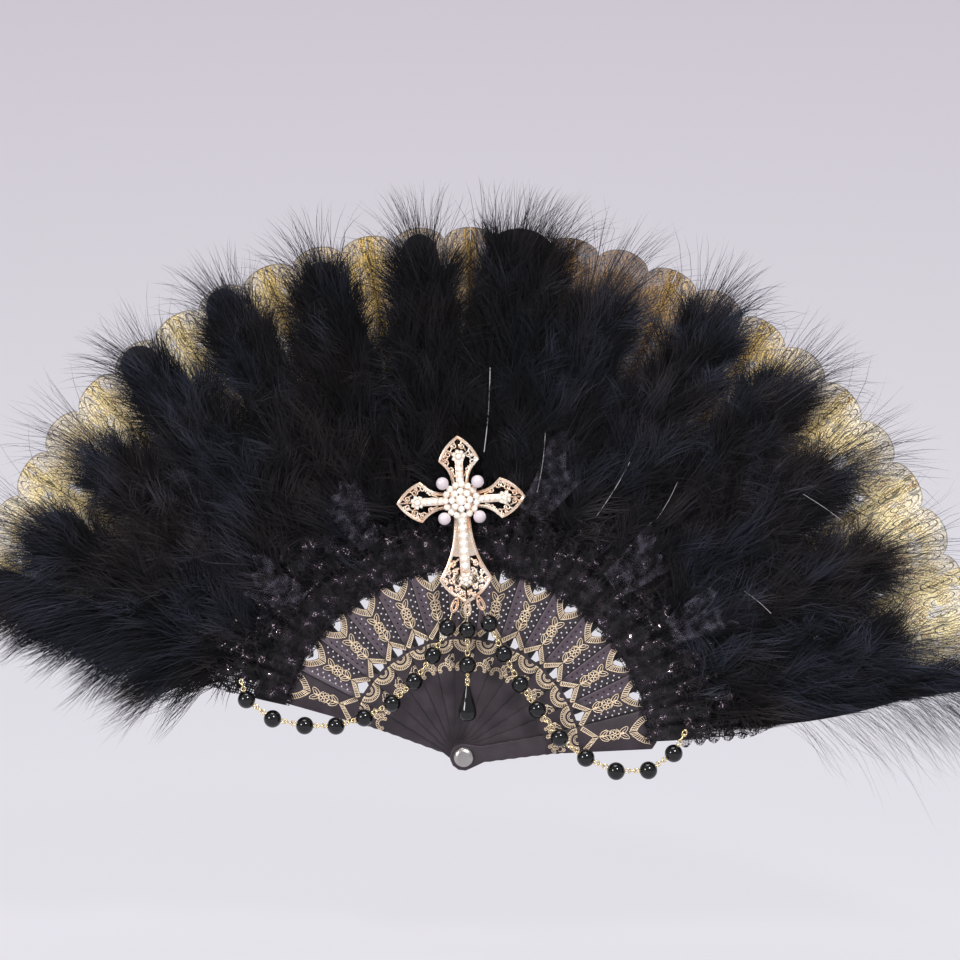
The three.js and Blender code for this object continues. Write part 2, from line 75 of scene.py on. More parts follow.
LACE_OUTER = 120.0
BEAD_RADIUS = 4.0
END_PLUMES = (0, 14)
PICTURE_SCALE = 0.45
PIVOT_PIXEL = (463.5, 757.5)

# The maps of leaf and lace: one unit is 100 mm, across along an arc of this radius and up along the radius
UV_UNIT = 100
LEAF_UV_RADIUS = 200
LACE_UV_RADIUS = 100

# Points closer than these, in metres, are one; edges sharper than this are softened
WELD = 0.00001
WIDE_WELD = 0.00002
SHARP = math.radians(50)


def stick_angle(k):
    """The angle at which the middle line of stick k lies on the open fan."""
    return FIRST_ANGLE + k * PITCH


def front_of(k):
    """How far back the front face of stick k lies."""
    if k == 0:
        return GUARD_FRONT
    return GUARD_FRONT + GUARD_THICK + LAYER_GAP + (k - 1) * RIB_STEP


def ramp_at(angle):
    """The front of the stack of sticks at an angle, as one smooth slope."""
    return front_of(1) - RIB_STEP + RIB_STEP * (angle - FIRST_ANGLE) / PITCH


def pleat_at(radius):
    """How far the fold of the leaf stands forward at a radius."""
    return PLEAT_DEPTH * (radius - LEAF_INNER) / (LEAF_OUTER - LEAF_INNER)


def plume_back(radius, angle):
    """Where the back of the plumes lies, on the leaf."""
    return ramp_at(angle) - 1.25 - pleat_at(radius)


def plume_depth(radius):
    """How deep the solid plumes are, most in their middle."""
    share = np.clip((radius - PLUME_INNER) / (PLUME_OUTER - PLUME_INNER), 0, 1)
    return 1.5 + 6.5 * np.sin(np.pi * share) ** 0.8


def guard_step(angle):
    """How far the lace steps forward over the thicker guard."""
    share = np.clip((FIRST_ANGLE + 0.9 * PITCH - angle) / (PITCH / 3), 0, 1)
    return 1.4 * share


def lace_back(radius, angle):
    """The back of the lace ruffle at a radius and angle."""
    root = np.maximum(radius, PLUME_INNER)
    over = plume_back(root, angle) - plume_depth(root) - LAYER_GAP - guard_step(angle) / 4
    flat = ramp_at(angle) - 0.91 - 0.95 * guard_step(angle)
    share = np.clip((radius - LACE_INNER) / (94.0 - LACE_INNER), 0, 1)
    return flat + (over - flat) * share


def turned_to(angle, y=0.0):
    """Takes a shape drawn upright, with x to its right and z outwards, to a stick's angle."""
    return Matrix.Translation((0, y * MM, 0)) @ Matrix.Rotation(math.pi / 2 - angle, 4, "Y")


def drawn_at(px, py):
    """The x and z on the fan, in millimetres, of a point of the drawing."""
    return (px - PIVOT_PIXEL[0]) * PICTURE_SCALE, (PIVOT_PIXEL[1] - py) * PICTURE_SCALE


def picture(px, py, y):
    """The place on the fan, in metres, of a point of the drawing."""
    x, z = drawn_at(px, py)
    return Vector((x, y, z)) * MM


# Workbench helpers
def only(piece):
    """Selects this piece and nothing else."""
    bpy.ops.object.select_all(action="DESELECT")
    piece.select_set(True)
    bpy.context.view_layer.objects.active = piece


def settle(piece):
    """Puts a finished piece's place into its mesh."""
    only(piece)
    bpy.ops.object.transform_apply(location=True, rotation=True, scale=True)
    return piece


def merged(name, parts):
    """Joins parts into one piece at the origin."""
    bpy.ops.object.select_all(action="DESELECT")
    for part in parts:
        part.select_set(True)
    bpy.context.view_layer.objects.active = parts[0]
    if len(parts) > 1:
        bpy.ops.object.join()
    piece = bpy.context.object
    piece.name = name
    piece.data.name = name
    return settle(piece)


def modified(piece, kind, **values):
    """Adds a modifier to a piece and applies it."""
    only(piece)
    modifier = piece.modifiers.new(kind.lower(), kind)
    for key, value in values.items():
        setattr(modifier, key, value)
    bpy.ops.object.modifier_apply(modifier=modifier.name)
    return piece


def smooth(piece, degrees):
    """Shades a piece smooth over edges that turn less than this."""
    only(piece)
    bpy.ops.object.shade_smooth_by_angle(angle=math.radians(degrees))
    return piece


def softened(piece, width, segments):
    """Rounds off a piece's sharp edges; the width is in millimetres."""
    return modified(piece, "BEVEL", width=width * MM, segments=segments, limit_method="ANGLE",
                    angle_limit=SHARP)


def faced_out(piece, weld=0.0):
    """Merges a piece's doubles where a distance is given, and points its faces outwards."""
    only(piece)
    bpy.ops.object.mode_set(mode="EDIT")
    bpy.ops.mesh.select_all(action="SELECT")
    if weld:
        bpy.ops.mesh.remove_doubles(threshold=weld)
    bpy.ops.mesh.normals_make_consistent(inside=False)
    bpy.ops.object.mode_set(mode="OBJECT")
    return piece


def ball(radius, segments, rings):
    """A ball at the origin; the radius is in millimetres."""
    bpy.ops.object.select_all(action="DESELECT")
    bpy.ops.mesh.primitive_uv_sphere_add(segments=segments, ring_count=rings, radius=radius * MM)
    return settle(bpy.context.object)


def woven(name, points, faces, uvs=None):
    """A piece from points in millimetres; uvs has one pair for each point."""
    mesh = bpy.data.meshes.new(name)
    mesh.from_pydata((np.asarray(points, float) * MM).tolist(), [], faces)
    if uvs is not None:
        layer = mesh.uv_layers.new(name="UVMap")
        corners = np.empty(len(mesh.loops), np.int32)
        mesh.loops.foreach_get("vertex_index", corners)
        layer.data.foreach_set("uv", np.asarray(uvs, np.float32)[corners].ravel())
    mesh.update()
    piece = bpy.data.objects.new(name, mesh)
    bpy.context.collection.objects.link(piece)
    return piece


def grid_faces(columns, rows):
    """The faces of a sheet whose points run row by row within each column."""
    starts = [i * rows + j for i in range(columns - 1) for j in range(rows - 1)]
    return [(a, a + rows, a + rows + 1, a + 1) for a in starts]


def clothed(piece, material):
    """Gives a piece its one material."""
    piece.data.materials.clear()
    piece.data.materials.append(material)
    return piece


def cloth(name, points, columns, rows, uvs, material):
    """A smooth sheet whose points run row by row within each column."""
    piece = woven(name, points, grid_faces(columns, rows), uvs)
    only(piece)
    bpy.ops.object.shade_smooth()
    return clothed(piece, material)


def twin(piece, name, matrix):
    """A copy of a piece with its own mesh, moved by the matrix."""
    copy = bpy.data.objects.new(name, piece.data.copy())
    copy.data.transform(matrix)
    bpy.context.collection.objects.link(copy)
    return copy


def thrown_away(piece):
    """Takes a helper shape out of the scene."""
    bpy.data.objects.remove(piece, do_unlink=True)


# Effects that several finishes share
def effect(name, inputs, outputs):
    """An empty group with these sockets, and the adder of its nodes."""
    group = bpy.data.node_groups.new(name, "ShaderNodeTree")
    for label, kind, value in inputs:
        socket = group.interface.new_socket(name=label, in_out="INPUT", socket_type=kind)
        if value is not None:
            socket.default_value = value
    for label, kind in outputs:
        group.interface.new_socket(name=label, in_out="OUTPUT", socket_type=kind)
    return group, Nodes(group)


class Nodes:
    """Adds nodes to a tree and wires them, from left to right."""

    def __init__(self, tree):
        self.tree = tree
        self.column = 0

    def add(self, kind, inputs=None, **settings):
        node = self.tree.nodes.new(kind)
        node.location = (self.column * 190, -60 * (self.column % 7))
        self.column += 1
        for key, value in settings.items():
            setattr(node, key, value)
        for key, value in (inputs or {}).items():
            self.feed(node.inputs[key], value)
        return node

    def feed(self, socket, value):
        if isinstance(value, bpy.types.NodeSocket):
            self.tree.links.new(value, socket)
        elif isinstance(value, bpy.types.Node):
            self.tree.links.new(value.outputs[0], socket)
        else:
            socket.default_value = value

    def math(self, operation, a, b=None, clamp=False):
        node = self.add("ShaderNodeMath", operation=operation, use_clamp=clamp)
        self.feed(node.inputs[0], a)
        if b is not None:
            self.feed(node.inputs[1], b)
        return node.outputs[0]

    def between(self, value, low, high, to_low=0.0, to_high=1.0):
        node = self.add("ShaderNodeMapRange", clamp=True)
        self.feed(node.inputs["Value"], value)
        node.inputs["From Min"].default_value = low
        node.inputs["From Max"].default_value = high
        node.inputs["To Min"].default_value = to_low
        node.inputs["To Max"].default_value = to_high
        return node.outputs[0]

    def mix(self, share, a, b):
        node = self.add("ShaderNodeMix", data_type="RGBA")
        self.feed(node.inputs[0], share)
        self.feed(node.inputs[6], a)
        self.feed(node.inputs[7], b)
        return node.outputs[2]

    def times(self, a, b):
        return self.math("MULTIPLY", a, b)

    def plus(self, a, b, clamp=False):
        return self.math("ADD", a, b, clamp)

    def minus(self, a, b):
        return self.math("SUBTRACT", a, b)

    def larger(self, a, b):
        return self.math("MAXIMUM", a, b)

    def split(self, vector):
        return self.add("ShaderNodeSeparateXYZ", {0: vector}).outputs

    def noise(self, where, scale, detail, rough=0.5):
        values = {"Vector": where, "Scale": scale, "Detail": detail, "Roughness": rough}
        return self.add("ShaderNodeTexNoise", values).outputs["Fac"]

    def cells(self, where, scale, feature, randomness=1.0):
        """Flat cells: F1 measures from their middles, DISTANCE_TO_EDGE from their edges."""
        return self.add("ShaderNodeTexVoronoi", {"Vector": where, "Scale": scale, "Randomness": randomness},
                        voronoi_dimensions="2D", feature=feature)

    def warped(self, where, scale, detail, reach):
        """A place pushed aside by broad noise, so that what is drawn there wavers."""
        push = self.add("ShaderNodeTexNoise", {"Vector": where, "Scale": scale, "Detail": detail})
        return self.add("ShaderNodeVectorMath", {0: push.outputs["Color"], 1: (reach, reach, 0.0), 2: where},
                        operation="MULTIPLY_ADD").outputs[0]


def colour(red, green, blue):
    """A colour written as it looks, from 0 to 255, for a shader."""
    values = []
    for part in (red, green, blue):
        c = part / 255
        values.append(c / 12.92 if c <= 0.04045 else ((c + 0.055) / 1.055) ** 2.4)
    return (*values, 1.0)


def make_speckle():
    """Fine grain: a value that varies over the surface, and a broad one for clouds of tone."""
    group, n = effect("speckle", [("Point", "NodeSocketVector", None), ("Scale", "NodeSocketFloat", 900.0),
                                  ("Detail", "NodeSocketFloat", 3.0)],
                      [("Value", "NodeSocketFloat"), ("Broad", "NodeSocketFloat")])
    start = n.add("NodeGroupInput").outputs
    fine = n.noise(start["Point"], start["Scale"], start["Detail"], 0.6)
    broad = n.noise(start["Point"], n.times(start["Scale"], 0.08), 2.0)
    end = n.add("NodeGroupOutput")
    n.feed(end.inputs["Value"], fine)
    n.feed(end.inputs["Broad"], broad)
    return group


def make_net():
    """Net of round-edged cells: 1 on the thread and 0 in the holes."""
    group, n = effect("net", [("Point", "NodeSocketVector", None), ("Scale", "NodeSocketFloat", 1.0),
                              ("Thread", "NodeSocketFloat", 0.12)], [("Mask", "NodeSocketFloat")])
    start = n.add("NodeGroupInput").outputs
    cells = n.cells(start["Point"], start["Scale"], "DISTANCE_TO_EDGE", 0.25)
    end = n.add("NodeGroupOutput")
    n.feed(end.inputs["Mask"], n.math("LESS_THAN", cells.outputs["Distance"], start["Thread"]))
    return group


SPECKLE = make_speckle()
NET = make_net()


class Finish(Nodes):
    """A finish with its shader, to which patterns are wired."""

    def __init__(self, name, base, roughness=0.5, metallic=0.0, **plain):
        self.material = bpy.data.materials.new(name)
        self.material.use_nodes = True
        super().__init__(self.material.node_tree)
        self.shader = self.tree.nodes["Principled BSDF"]
        self.shader.inputs["Base Color"].default_value = base
        self.shader.inputs["Roughness"].default_value = roughness
        self.shader.inputs["Metallic"].default_value = metallic
        for key, value in plain.items():
            self.shader.inputs[key.replace("_", " ")].default_value = value
        self.where = self.add("ShaderNodeTexCoord")

    def put(self, label, value):
        """Feeds an input of the shader."""
        self.feed(self.shader.inputs[label], value)

    def net(self, where, scale, thread):
        return self.add("ShaderNodeGroup", {"Point": where, "Scale": scale, "Thread": thread},
                        node_tree=NET).outputs["Mask"]

    def speckle(self, scale, detail=3.0):
        where = self.where.outputs["Object"]
        return self.add("ShaderNodeGroup", {"Point": where, "Scale": scale, "Detail": detail},
                        node_tree=SPECKLE)

    def bump(self, height, strength, distance):
        node = self.add("ShaderNodeBump", {"Height": height, "Strength": strength, "Distance": distance})
        self.put("Normal", node.outputs["Normal"])


def stick_plastic():
    """Black moulded plastic, satin, with a purple-brown cast.
    Each panel has a paler band painted on its left as light on its raised half, a painted highlight along its
    left edge, and a painted shadow along its right edge, under the stick to its right."""
    f = Finish("stick_plastic", colour(52, 43, 49), 0.42, 0.0, Specular_IOR_Level=0.4)
    grain = f.speckle(2200.0)
    drawn = f.split(f.where.outputs["UV"])
    across, out = drawn["X"], drawn["Y"]
    half = f.plus(f.times(out, math.tan(PITCH / 2)), 0.005)
    panel = f.times(f.between(out, 0.57, 0.59), f.between(out, 0.86, 0.85))
    # Painted light: a paler band on the left of each panel, as on a raised half that faces the light
    lit_band = f.times(f.between(across, -0.026, -0.032), panel)
    # Painted shadow: darker along the right edge, under the edge of the stick to its right
    under = f.minus(across, half)
    shade = f.times(f.between(under, -0.024, -0.011), f.between(out, 0.4, 0.46))
    # Painted highlight: a pale line along the left edge of each panel
    edge_highlight = f.times(f.between(f.math("ABSOLUTE", f.plus(across, half)), 0.006, 0.003), panel)
    base = f.mix(f.between(grain.outputs["Broad"], 0.3, 0.75), colour(42, 35, 40), colour(56, 47, 53))
    base = f.mix(f.times(lit_band, 0.45), base, colour(98, 84, 94))
    base = f.mix(f.times(edge_highlight, 0.35), base, colour(120, 106, 112))
    base = f.mix(f.times(shade, 0.85), base, colour(12, 9, 12))
    f.put("Base Color", base)
    f.put("Roughness", f.between(grain.outputs["Value"], 0.3, 0.75, 0.34, 0.52))
    f.bump(f.plus(grain.outputs["Value"], f.times(lit_band, 3.0)), 0.25, 0.00004)
    return f.material


def gold_print():
    """Champagne gold print on the sticks."""
    f = Finish("gold_print", colour(240, 214, 174), 0.36, 0.35)
    grain = f.speckle(3500.0)
    f.put("Base Color", f.mix(f.between(grain.outputs["Value"], 0.35, 0.7), colour(232, 202, 164),
                              colour(255, 240, 212)))
    f.put("Roughness", f.between(grain.outputs["Broad"], 0.3, 0.7, 0.26, 0.45))
    f.bump(grain.outputs["Value"], 0.3, 0.00003)
    return f.material


def leaf_cloth():
    """Sheer black cloth woven with olive gold: rings about small eyes, and long loops along the rim."""
    f = Finish("leaf_cloth", colour(170, 145, 76), 0.4, 0.5)
    uv = f.where.outputs["UV"]
    shifted = f.warped(uv, 9.0, 2.0, 0.045)
    tall = f.add("ShaderNodeMapping", {"Vector": shifted, "Scale": (1.0, 0.6, 1.0)})
    eyes = f.cells(tall.outputs[0], 12.0, "F1", 0.9)
    rings = f.math("SINE", f.times(eyes.outputs["Distance"], 30.0))
    eye_thread = f.between(rings, 0.86, 0.97)
    # Loops that stand side by side along the rim, seven to a panel and 22 mm long
    inward = f.add("ShaderNodeAttribute", attribute_name="inward").outputs["Fac"]
    loops_to_unit = 7 / (LEAF_UV_RADIUS / UV_UNIT * PITCH)
    half_long = 11.0
    across = f.minus(f.math("FRACT", f.times(f.split(shifted)["X"], loops_to_unit)), 0.5)
    along = f.math("DIVIDE", f.minus(inward, half_long), half_long)
    wide = f.times(across, 2.1)
    away = f.math("SQRT", f.plus(f.times(wide, wide), f.times(along, along)))
    lines = f.math("ABSOLUTE", f.minus(f.math("FRACT", f.times(away, 3.0)), 0.5))
    loop_thread = f.between(lines, 0.1, 0.05)
    in_loops = f.times(f.between(inward, 2 * half_long, 2 * half_long - 1), f.between(away, 1.12, 1.08))
    rim = f.times(f.between(inward, 0.8, 0.5), 0.7)
    strands = f.add("ShaderNodeMapping", {"Vector": shifted, "Scale": (120.0, 9.0, 1.0)})
    strand = f.noise(strands.outputs[0], 1.0, 3.0)
    run = f.times(f.between(strand, 0.56, 0.62), 0.85)
    thread = f.plus(f.times(loop_thread, in_loops), f.times(eye_thread, f.minus(1.0, in_loops)), clamp=True)
    thread = f.larger(f.larger(thread, rim), run)
    # Gold in patches that glitter
    glitter = f.noise(uv, 150.0, 4.0, 0.8)
    patches = f.noise(uv, 11.0, 3.0, 0.6)
    amount = f.plus(f.plus(f.times(glitter, 0.4), f.times(patches, 0.6)), f.times(strand, 0.35))
    gold = f.between(amount, 0.56, 0.61)
    # Painted light: the right end is painted as catching the light, the left end a little less, and the
    # middle as dim, browner gold
    x = f.split(f.where.outputs["Object"])["X"]
    lit_side = f.larger(f.between(x, 0.13, 0.19), f.between(x, -0.07, -0.12, 0.0, 0.75))
    middle = f.times(f.between(x, -0.03, 0.02), f.between(x, 0.13, 0.08))
    lit = f.plus(f.times(glitter, 0.6), f.times(strand, 0.4))
    dim = f.mix(f.between(lit, 0.43, 0.55), colour(66, 40, 14), colour(255, 214, 112))
    dim_brown = f.mix(f.between(lit, 0.45, 0.6), colour(34, 20, 10), colour(196, 140, 58))
    dim = f.mix(middle, dim, dim_brown)
    bright = f.mix(f.between(lit, 0.42, 0.54), colour(132, 86, 30), colour(255, 238, 172))
    bare = f.mix(lit_side, colour(40, 32, 30), colour(172, 158, 126))
    base = f.mix(gold, bare, f.mix(lit_side, dim, bright))
    # Painted glints: near-white specks on the lit sides
    base = f.mix(f.times(f.between(glitter, 0.57, 0.6), lit_side), base, colour(255, 252, 238))
    base = f.mix(thread, base, f.mix(lit_side, colour(16, 11, 10), colour(38, 25, 16)))
    f.put("Base Color", base)
    f.put("Metallic", f.times(f.times(gold, f.minus(1.0, thread)), 0.3))
    f.put("Roughness", f.between(glitter, 0.3, 0.7, 0.25, 0.6))
    # Thread and gold cover, less so towards the rim; the ground between them is sheer, and more so on the
    # painted lit sides
    rimward = f.between(inward, 11.0, 4.0)
    kept = f.minus(0.94, f.times(rimward, 0.5))
    kept = f.larger(kept, f.times(f.between(glitter, 0.52, 0.56), 0.9))
    cover = f.larger(f.times(thread, 0.95), f.times(gold, kept))
    sheer = f.minus(f.plus(f.times(f.net(uv, 190.0, 0.06), 0.2), 0.45), f.times(lit_side, 0.25))
    cover = f.larger(cover, f.plus(sheer, f.times(middle, 0.25)))
    # Glued on a stick's narrow strip, it shows nothing through
    place = f.split(uv)
    angle = f.times(place["X"], UV_UNIT / LEAF_UV_RADIUS)
    turn = f.times(f.minus(angle, FIRST_ANGLE), 1 / PITCH)
    from_stick = f.math("ABSOLUTE", f.minus(turn, f.math("ROUND", turn)))
    from_stick = f.times(from_stick, f.times(place["Y"], PITCH * UV_UNIT))
    glued = f.between(from_stick, LAND_HALF + 0.4, LAND_HALF)
    f.put("Alpha", f.larger(cover, f.times(glued, 0.93)))
    f.bump(f.plus(glitter, thread), 0.6, 0.00025)
    return f.material


def plume_down():
    """Black down: dull barbs, each tuft with its own tone, lightened by a painted sheen that is faintly
    blue-grey on some tufts and brownish on others, and pale grey at the brightest tips.
    """
    f = Finish("plume_down", colour(14, 14, 17), 0.7, 0.0, Specular_IOR_Level=0.14, Sheen_Weight=0.02,
               Sheen_Roughness=0.4, Sheen_Tint=colour(150, 160, 190))
    tone_and_sheen = f.add("ShaderNodeAttribute", attribute_name="tone_and_sheen").outputs["Fac"]
    cloud = f.speckle(300.0, 2.0)
    # Painted sheen: the lighter tones turn blue-grey or brownish in broad clouds
    cast = f.mix(f.between(cloud.outputs["Broad"], 0.42, 0.6), colour(72, 76, 92), colour(74, 66, 68))
    base = f.mix(f.between(tone_and_sheen, 0.0, 0.85), colour(3, 3, 4), cast)
    # Painted highlight: the brightest tones, at the barbs' tips, turn pale grey
    base = f.mix(f.between(tone_and_sheen, 0.88, 1.0), base, colour(142, 139, 148))
    f.put("Base Color", base)
    f.put("Roughness", f.between(tone_and_sheen, 0.0, 1.0, 0.8, 0.5))
    return f.material


def feather_vane():
    """The close-set vane at the heart of each plume, with fine slanting barbs."""
    f = Finish("feather_vane", colour(10, 9, 11), 0.65, 0.0, Specular_IOR_Level=0.15)
    barbs = f.add("ShaderNodeTexWave",
                  {"Vector": f.where.outputs["UV"], "Scale": 60.0, "Distortion": 2.0, "Detail": 2.0},
                  bands_direction="DIAGONAL")
    f.put("Base Color", f.mix(barbs.outputs["Fac"], colour(3, 3, 4), colour(14, 12, 15)))
    f.put("Roughness", f.between(barbs.outputs["Fac"], 0.0, 1.0, 0.55, 0.8))
    f.bump(barbs.outputs["Fac"], 0.6, 0.0002)
    return f.material


def rose_gold():
    """Plated casting: warm rose gold, brighter where it is rubbed."""
    f = Finish("rose_gold", colour(232, 186, 148), 0.24, 0.95)
    grain = f.speckle(1800.0)
    f.put("Base Color", f.mix(f.between(grain.outputs["Broad"], 0.35, 0.65), colour(246, 208, 178),
                              colour(255, 240, 222)))
    f.put("Roughness", f.between(grain.outputs["Value"], 0.3, 0.7, 0.16, 0.36))
    f.bump(grain.outputs["Value"], 0.35, 0.00005)
    return f.material


def pale_gold_wire():
    """Light gold wire of the links."""
    f = Finish("pale_gold_wire", colour(236, 214, 160), 0.25, 1.0)
    grain = f.speckle(2600.0)
    f.put("Base Color", f.mix(grain.outputs["Value"], colour(220, 190, 130), colour(250, 236, 196)))
    f.bump(grain.outputs["Value"], 0.3, 0.00003)
    return f.material


def foiled_crystal():
    """Clear cut stones with foil behind them, white with a warm cast."""
    f = Finish("foiled_crystal", colour(250, 246, 236), 0.12, 0.12, Specular_IOR_Level=0.8, Coat_Weight=1.0,
               Coat_Roughness=0.04)
    tint = f.speckle(420.0, 1.0)
    f.put("Base Color", f.mix(f.between(tint.outputs["Value"], 0.35, 0.65), colour(238, 228, 212),
                              colour(255, 254, 248)))
    return f.material


def pearl_white():
    """Round white imitation pearls with a soft lustre."""
    f = Finish("pearl_white", colour(236, 228, 232), 0.2, 0.0, Specular_IOR_Level=0.6, Coat_Weight=0.6,
               Coat_Roughness=0.15)
    tint = f.speckle(160.0, 1.0)
    f.put("Base Color", f.mix(tint.outputs["Value"], colour(190, 177, 181), colour(217, 205, 209)))
    return f.material


def black_glass():
    """Polished black glass of the beads and the drop."""
    f = Finish("black_glass", colour(9, 9, 12), 0.05, 0.0, Specular_IOR_Level=0.5)
    tint = f.speckle(300.0, 2.0)
    f.put("Base Color", f.mix(tint.outputs["Value"], colour(4, 4, 6), colour(12, 12, 15)))
    f.put("Roughness", f.between(tint.outputs["Value"], 0.3, 0.7, 0.03, 0.09))
    return f.material


def brushed_metal():
    """Nickel of the rivet, faintly turned and rubbed."""
    f = Finish("brushed_metal", colour(176, 172, 168), 0.3, 1.0)
    grain = f.speckle(1500.0)
    f.put("Base Color", f.mix(grain.outputs["Broad"], colour(150, 146, 144), colour(206, 202, 198)))
    f.put("Roughness", f.between(grain.outputs["Value"], 0.3, 0.7, 0.2, 0.42))
    f.bump(grain.outputs["Value"], 0.4, 0.00004)
    return f.material


def floral_lace():
    """Black net lace with worked flowers, and here and there a few glints of metal thread."""
    f = Finish("floral_lace", colour(16, 14, 17), 0.6, 0.0, Specular_IOR_Level=0.16, Sheen_Weight=0.03,
               Sheen_Roughness=0.4, Sheen_Tint=colour(170, 150, 165))
    uv = f.where.outputs["UV"]
    bent = f.warped(uv, 20.0, 3.0, 0.05)
    # A flower of five petals in each cell, thirteen cells to the unit
    flowers = 13.0
    cells = f.cells(bent, flowers, "F1")
    scaled = f.add("ShaderNodeVectorMath", {0: bent, "Scale": flowers}, operation="SCALE")
    centre = f.add("ShaderNodeVectorMath", {0: cells.outputs["Position"], "Scale": flowers},
                   operation="SCALE")
    away = f.add("ShaderNodeVectorMath", {0: scaled, 1: centre}, operation="SUBTRACT")
    parts = f.split(away)
    turn = f.math("ARCTAN2", parts["Y"], parts["X"])
    petals = f.math("COSINE", f.times(turn, 5.0))
    flower = f.math("LESS_THAN", cells.outputs["Distance"], f.plus(f.times(petals, 0.13), 0.34))
    veins = f.between(f.math("SINE", f.times(cells.outputs["Distance"], 66.0)), -0.9, -0.2)
    net = f.net(uv, 85.0, 0.16)
    stem = f.math("LESS_THAN", f.cells(bent, 17.0, "DISTANCE_TO_EDGE").outputs["Distance"], 0.06)
    worked = f.larger(f.times(flower, f.math("GREATER_THAN", veins, 0.2)), stem)
    out = f.split(uv)["Y"]
    lined = f.times(f.between(out, 0.842, 0.848), f.between(out, 1.0, 0.985))
    f.put("Alpha", f.larger(f.larger(worked, f.times(net, 0.9)), f.times(lined, 0.96)))
    # Glints in clusters, on the worked parts only, and a fine haze of painted sparkle about them
    glint_cells = f.cells(uv, 190.0, "F1")
    rare = f.add("ShaderNodeSeparateColor", {0: glint_cells.outputs["Color"]})
    cluster = f.noise(uv, 19.0, 2.0)
    painted_sparkle = f.times(f.between(f.noise(uv, 300.0, 2.0), 0.54, 0.62), f.between(cluster, 0.46, 0.62))
    glint = f.times(f.math("LESS_THAN", glint_cells.outputs["Distance"], 0.4),
                    f.math("GREATER_THAN", rare.outputs[0], 0.74))
    glint = f.times(f.times(glint, f.math("GREATER_THAN", cluster, 0.6)), worked)
    inner = f.between(out, 1.02, 0.92)
    worked_tone = f.mix(inner, colour(7, 6, 8), f.mix(veins, colour(7, 6, 7), colour(22, 18, 22)))
    base = f.mix(worked, colour(5, 4, 6), worked_tone)
    # Painted sparkle: a pale purple-grey haze in the clusters
    base = f.mix(f.times(painted_sparkle, 0.65), base, colour(98, 86, 100))
    f.put("Base Color", f.mix(glint, base, colour(226, 208, 216)))
    f.put("Metallic", f.times(glint, 0.9))
    f.put("Roughness", f.mix(glint, (0.6, 0.6, 0.6, 1), (0.2, 0.2, 0.2, 1)))
    f.bump(f.plus(worked, net), 0.25, 0.00015)
    return f.material


def stiff_net():
    """Stiff black net, seen as a grey haze of fine lines."""
    f = Finish("stiff_net", colour(34, 34, 40), 0.6, 0.0, Specular_IOR_Level=0.25, Sheen_Weight=0.1)
    uv = f.where.outputs["UV"]
    net = f.net(uv, 120.0, 0.1)
    share = f.between(f.noise(uv, 22.0, 3.0), 0.4, 0.65)
    f.put("Base Color", f.mix(share, colour(26, 25, 30), colour(92, 88, 102)))
    f.put("Alpha", f.times(net, f.between(share, 0.0, 1.0, 0.3, 0.85)))
    f.bump(net, 0.5, 0.0002)
    return f.material


def pale_quill():
    """Bare pale shafts of a few plumes."""
    f = Finish("pale_quill", colour(168, 164, 168), 0.4, 0.0)
    tint = f.speckle(500.0)
    f.put("Base Color", f.mix(tint.outputs["Broad"], colour(120, 116, 122), colour(200, 196, 198)))
    return f.material


def backdrop_paper():
    """Plain pale lavender-grey paper, which lamps light and the camera sees at its own colour."""
    f = Finish("backdrop_paper", colour(220, 216, 224), 0.9)
    out = f.tree.nodes["Material Output"]
    height = f.split(f.where.outputs["Object"])["Z"]
    tint = f.mix(f.between(height, -0.1, 1.08), colour(230, 228, 235), colour(198, 190, 200))
    glow = f.add("ShaderNodeEmission", {"Color": tint, "Strength": 1.0})
    path = f.add("ShaderNodeLightPath")
    seen = f.larger(path.outputs["Is Camera Ray"], path.outputs["Is Glossy Ray"])
    seen = f.larger(seen, path.outputs["Is Transmission Ray"])
    share = f.add("ShaderNodeMixShader")
    f.feed(share.inputs[0], f.times(seen, 0.85))
    f.feed(share.inputs[1], f.shader.outputs[0])
    f.feed(share.inputs[2], glow.outputs[0])
    f.feed(out.inputs["Surface"], share.outputs[0])
    return f.material


PLASTIC = stick_plastic()
PRINT = gold_print()
LEAF = leaf_cloth()
DOWN = plume_down()
VANE = feather_vane()
ROSE_GOLD = rose_gold()
WIRE_GOLD = pale_gold_wire()
CRYSTAL = foiled_crystal()
PEARL = pearl_white()
BLACK_GLASS = black_glass()
RIVET_METAL = brushed_metal()
LACE = floral_lace()
STIFF_NET = stiff_net()
QUILL = pale_quill()


# Sticks: whole faces, pierced dots and softened edges, from the frame's own outlines
def whole_faced(node, name):
    """A copy of a frame node with its triangles joined into whole faces."""
    copy = twin(frame["nodes"][node], name, Matrix.Identity(4))
    only(copy)
    bpy.ops.object.mode_set(mode="EDIT")
    bpy.ops.mesh.select_all(action="SELECT")
    bpy.ops.mesh.remove_doubles(threshold=WELD)
    bpy.ops.mesh.dissolve_limited(angle_limit=math.radians(1))
    bpy.ops.object.mode_set(mode="OBJECT")
    return copy


def wedge_half(radius):
    """Half the width of a stick's panel at a radius."""
    return radius * math.tan(PITCH / 2) + 0.5


# The pierced dots of a rib, in millimetres: their first radius on the fan, the step between them,
# how far the two columns lie inside the panel's edge, and the radius of a dot
DOT_ROWS = 7
DOT_START = 60.5
DOT_STEP = 3.0
DOT_INSETS = (1.9, 3.7)
DOT_RADIUS = 0.4


def dot_places():
    """Where the pierced dots of a rib lie: two staggered columns along each side."""
    places = []
    for hand in (1, -1):
        for row in range(DOT_ROWS):
            radius = DOT_START + DOT_STEP * row
            places.append((hand * (wedge_half(radius) - DOT_INSETS[0]), radius))
            if row:
                inner = radius - DOT_STEP / 2
                places.append((hand * (wedge_half(inner) - DOT_INSETS[1]), inner))
    return places


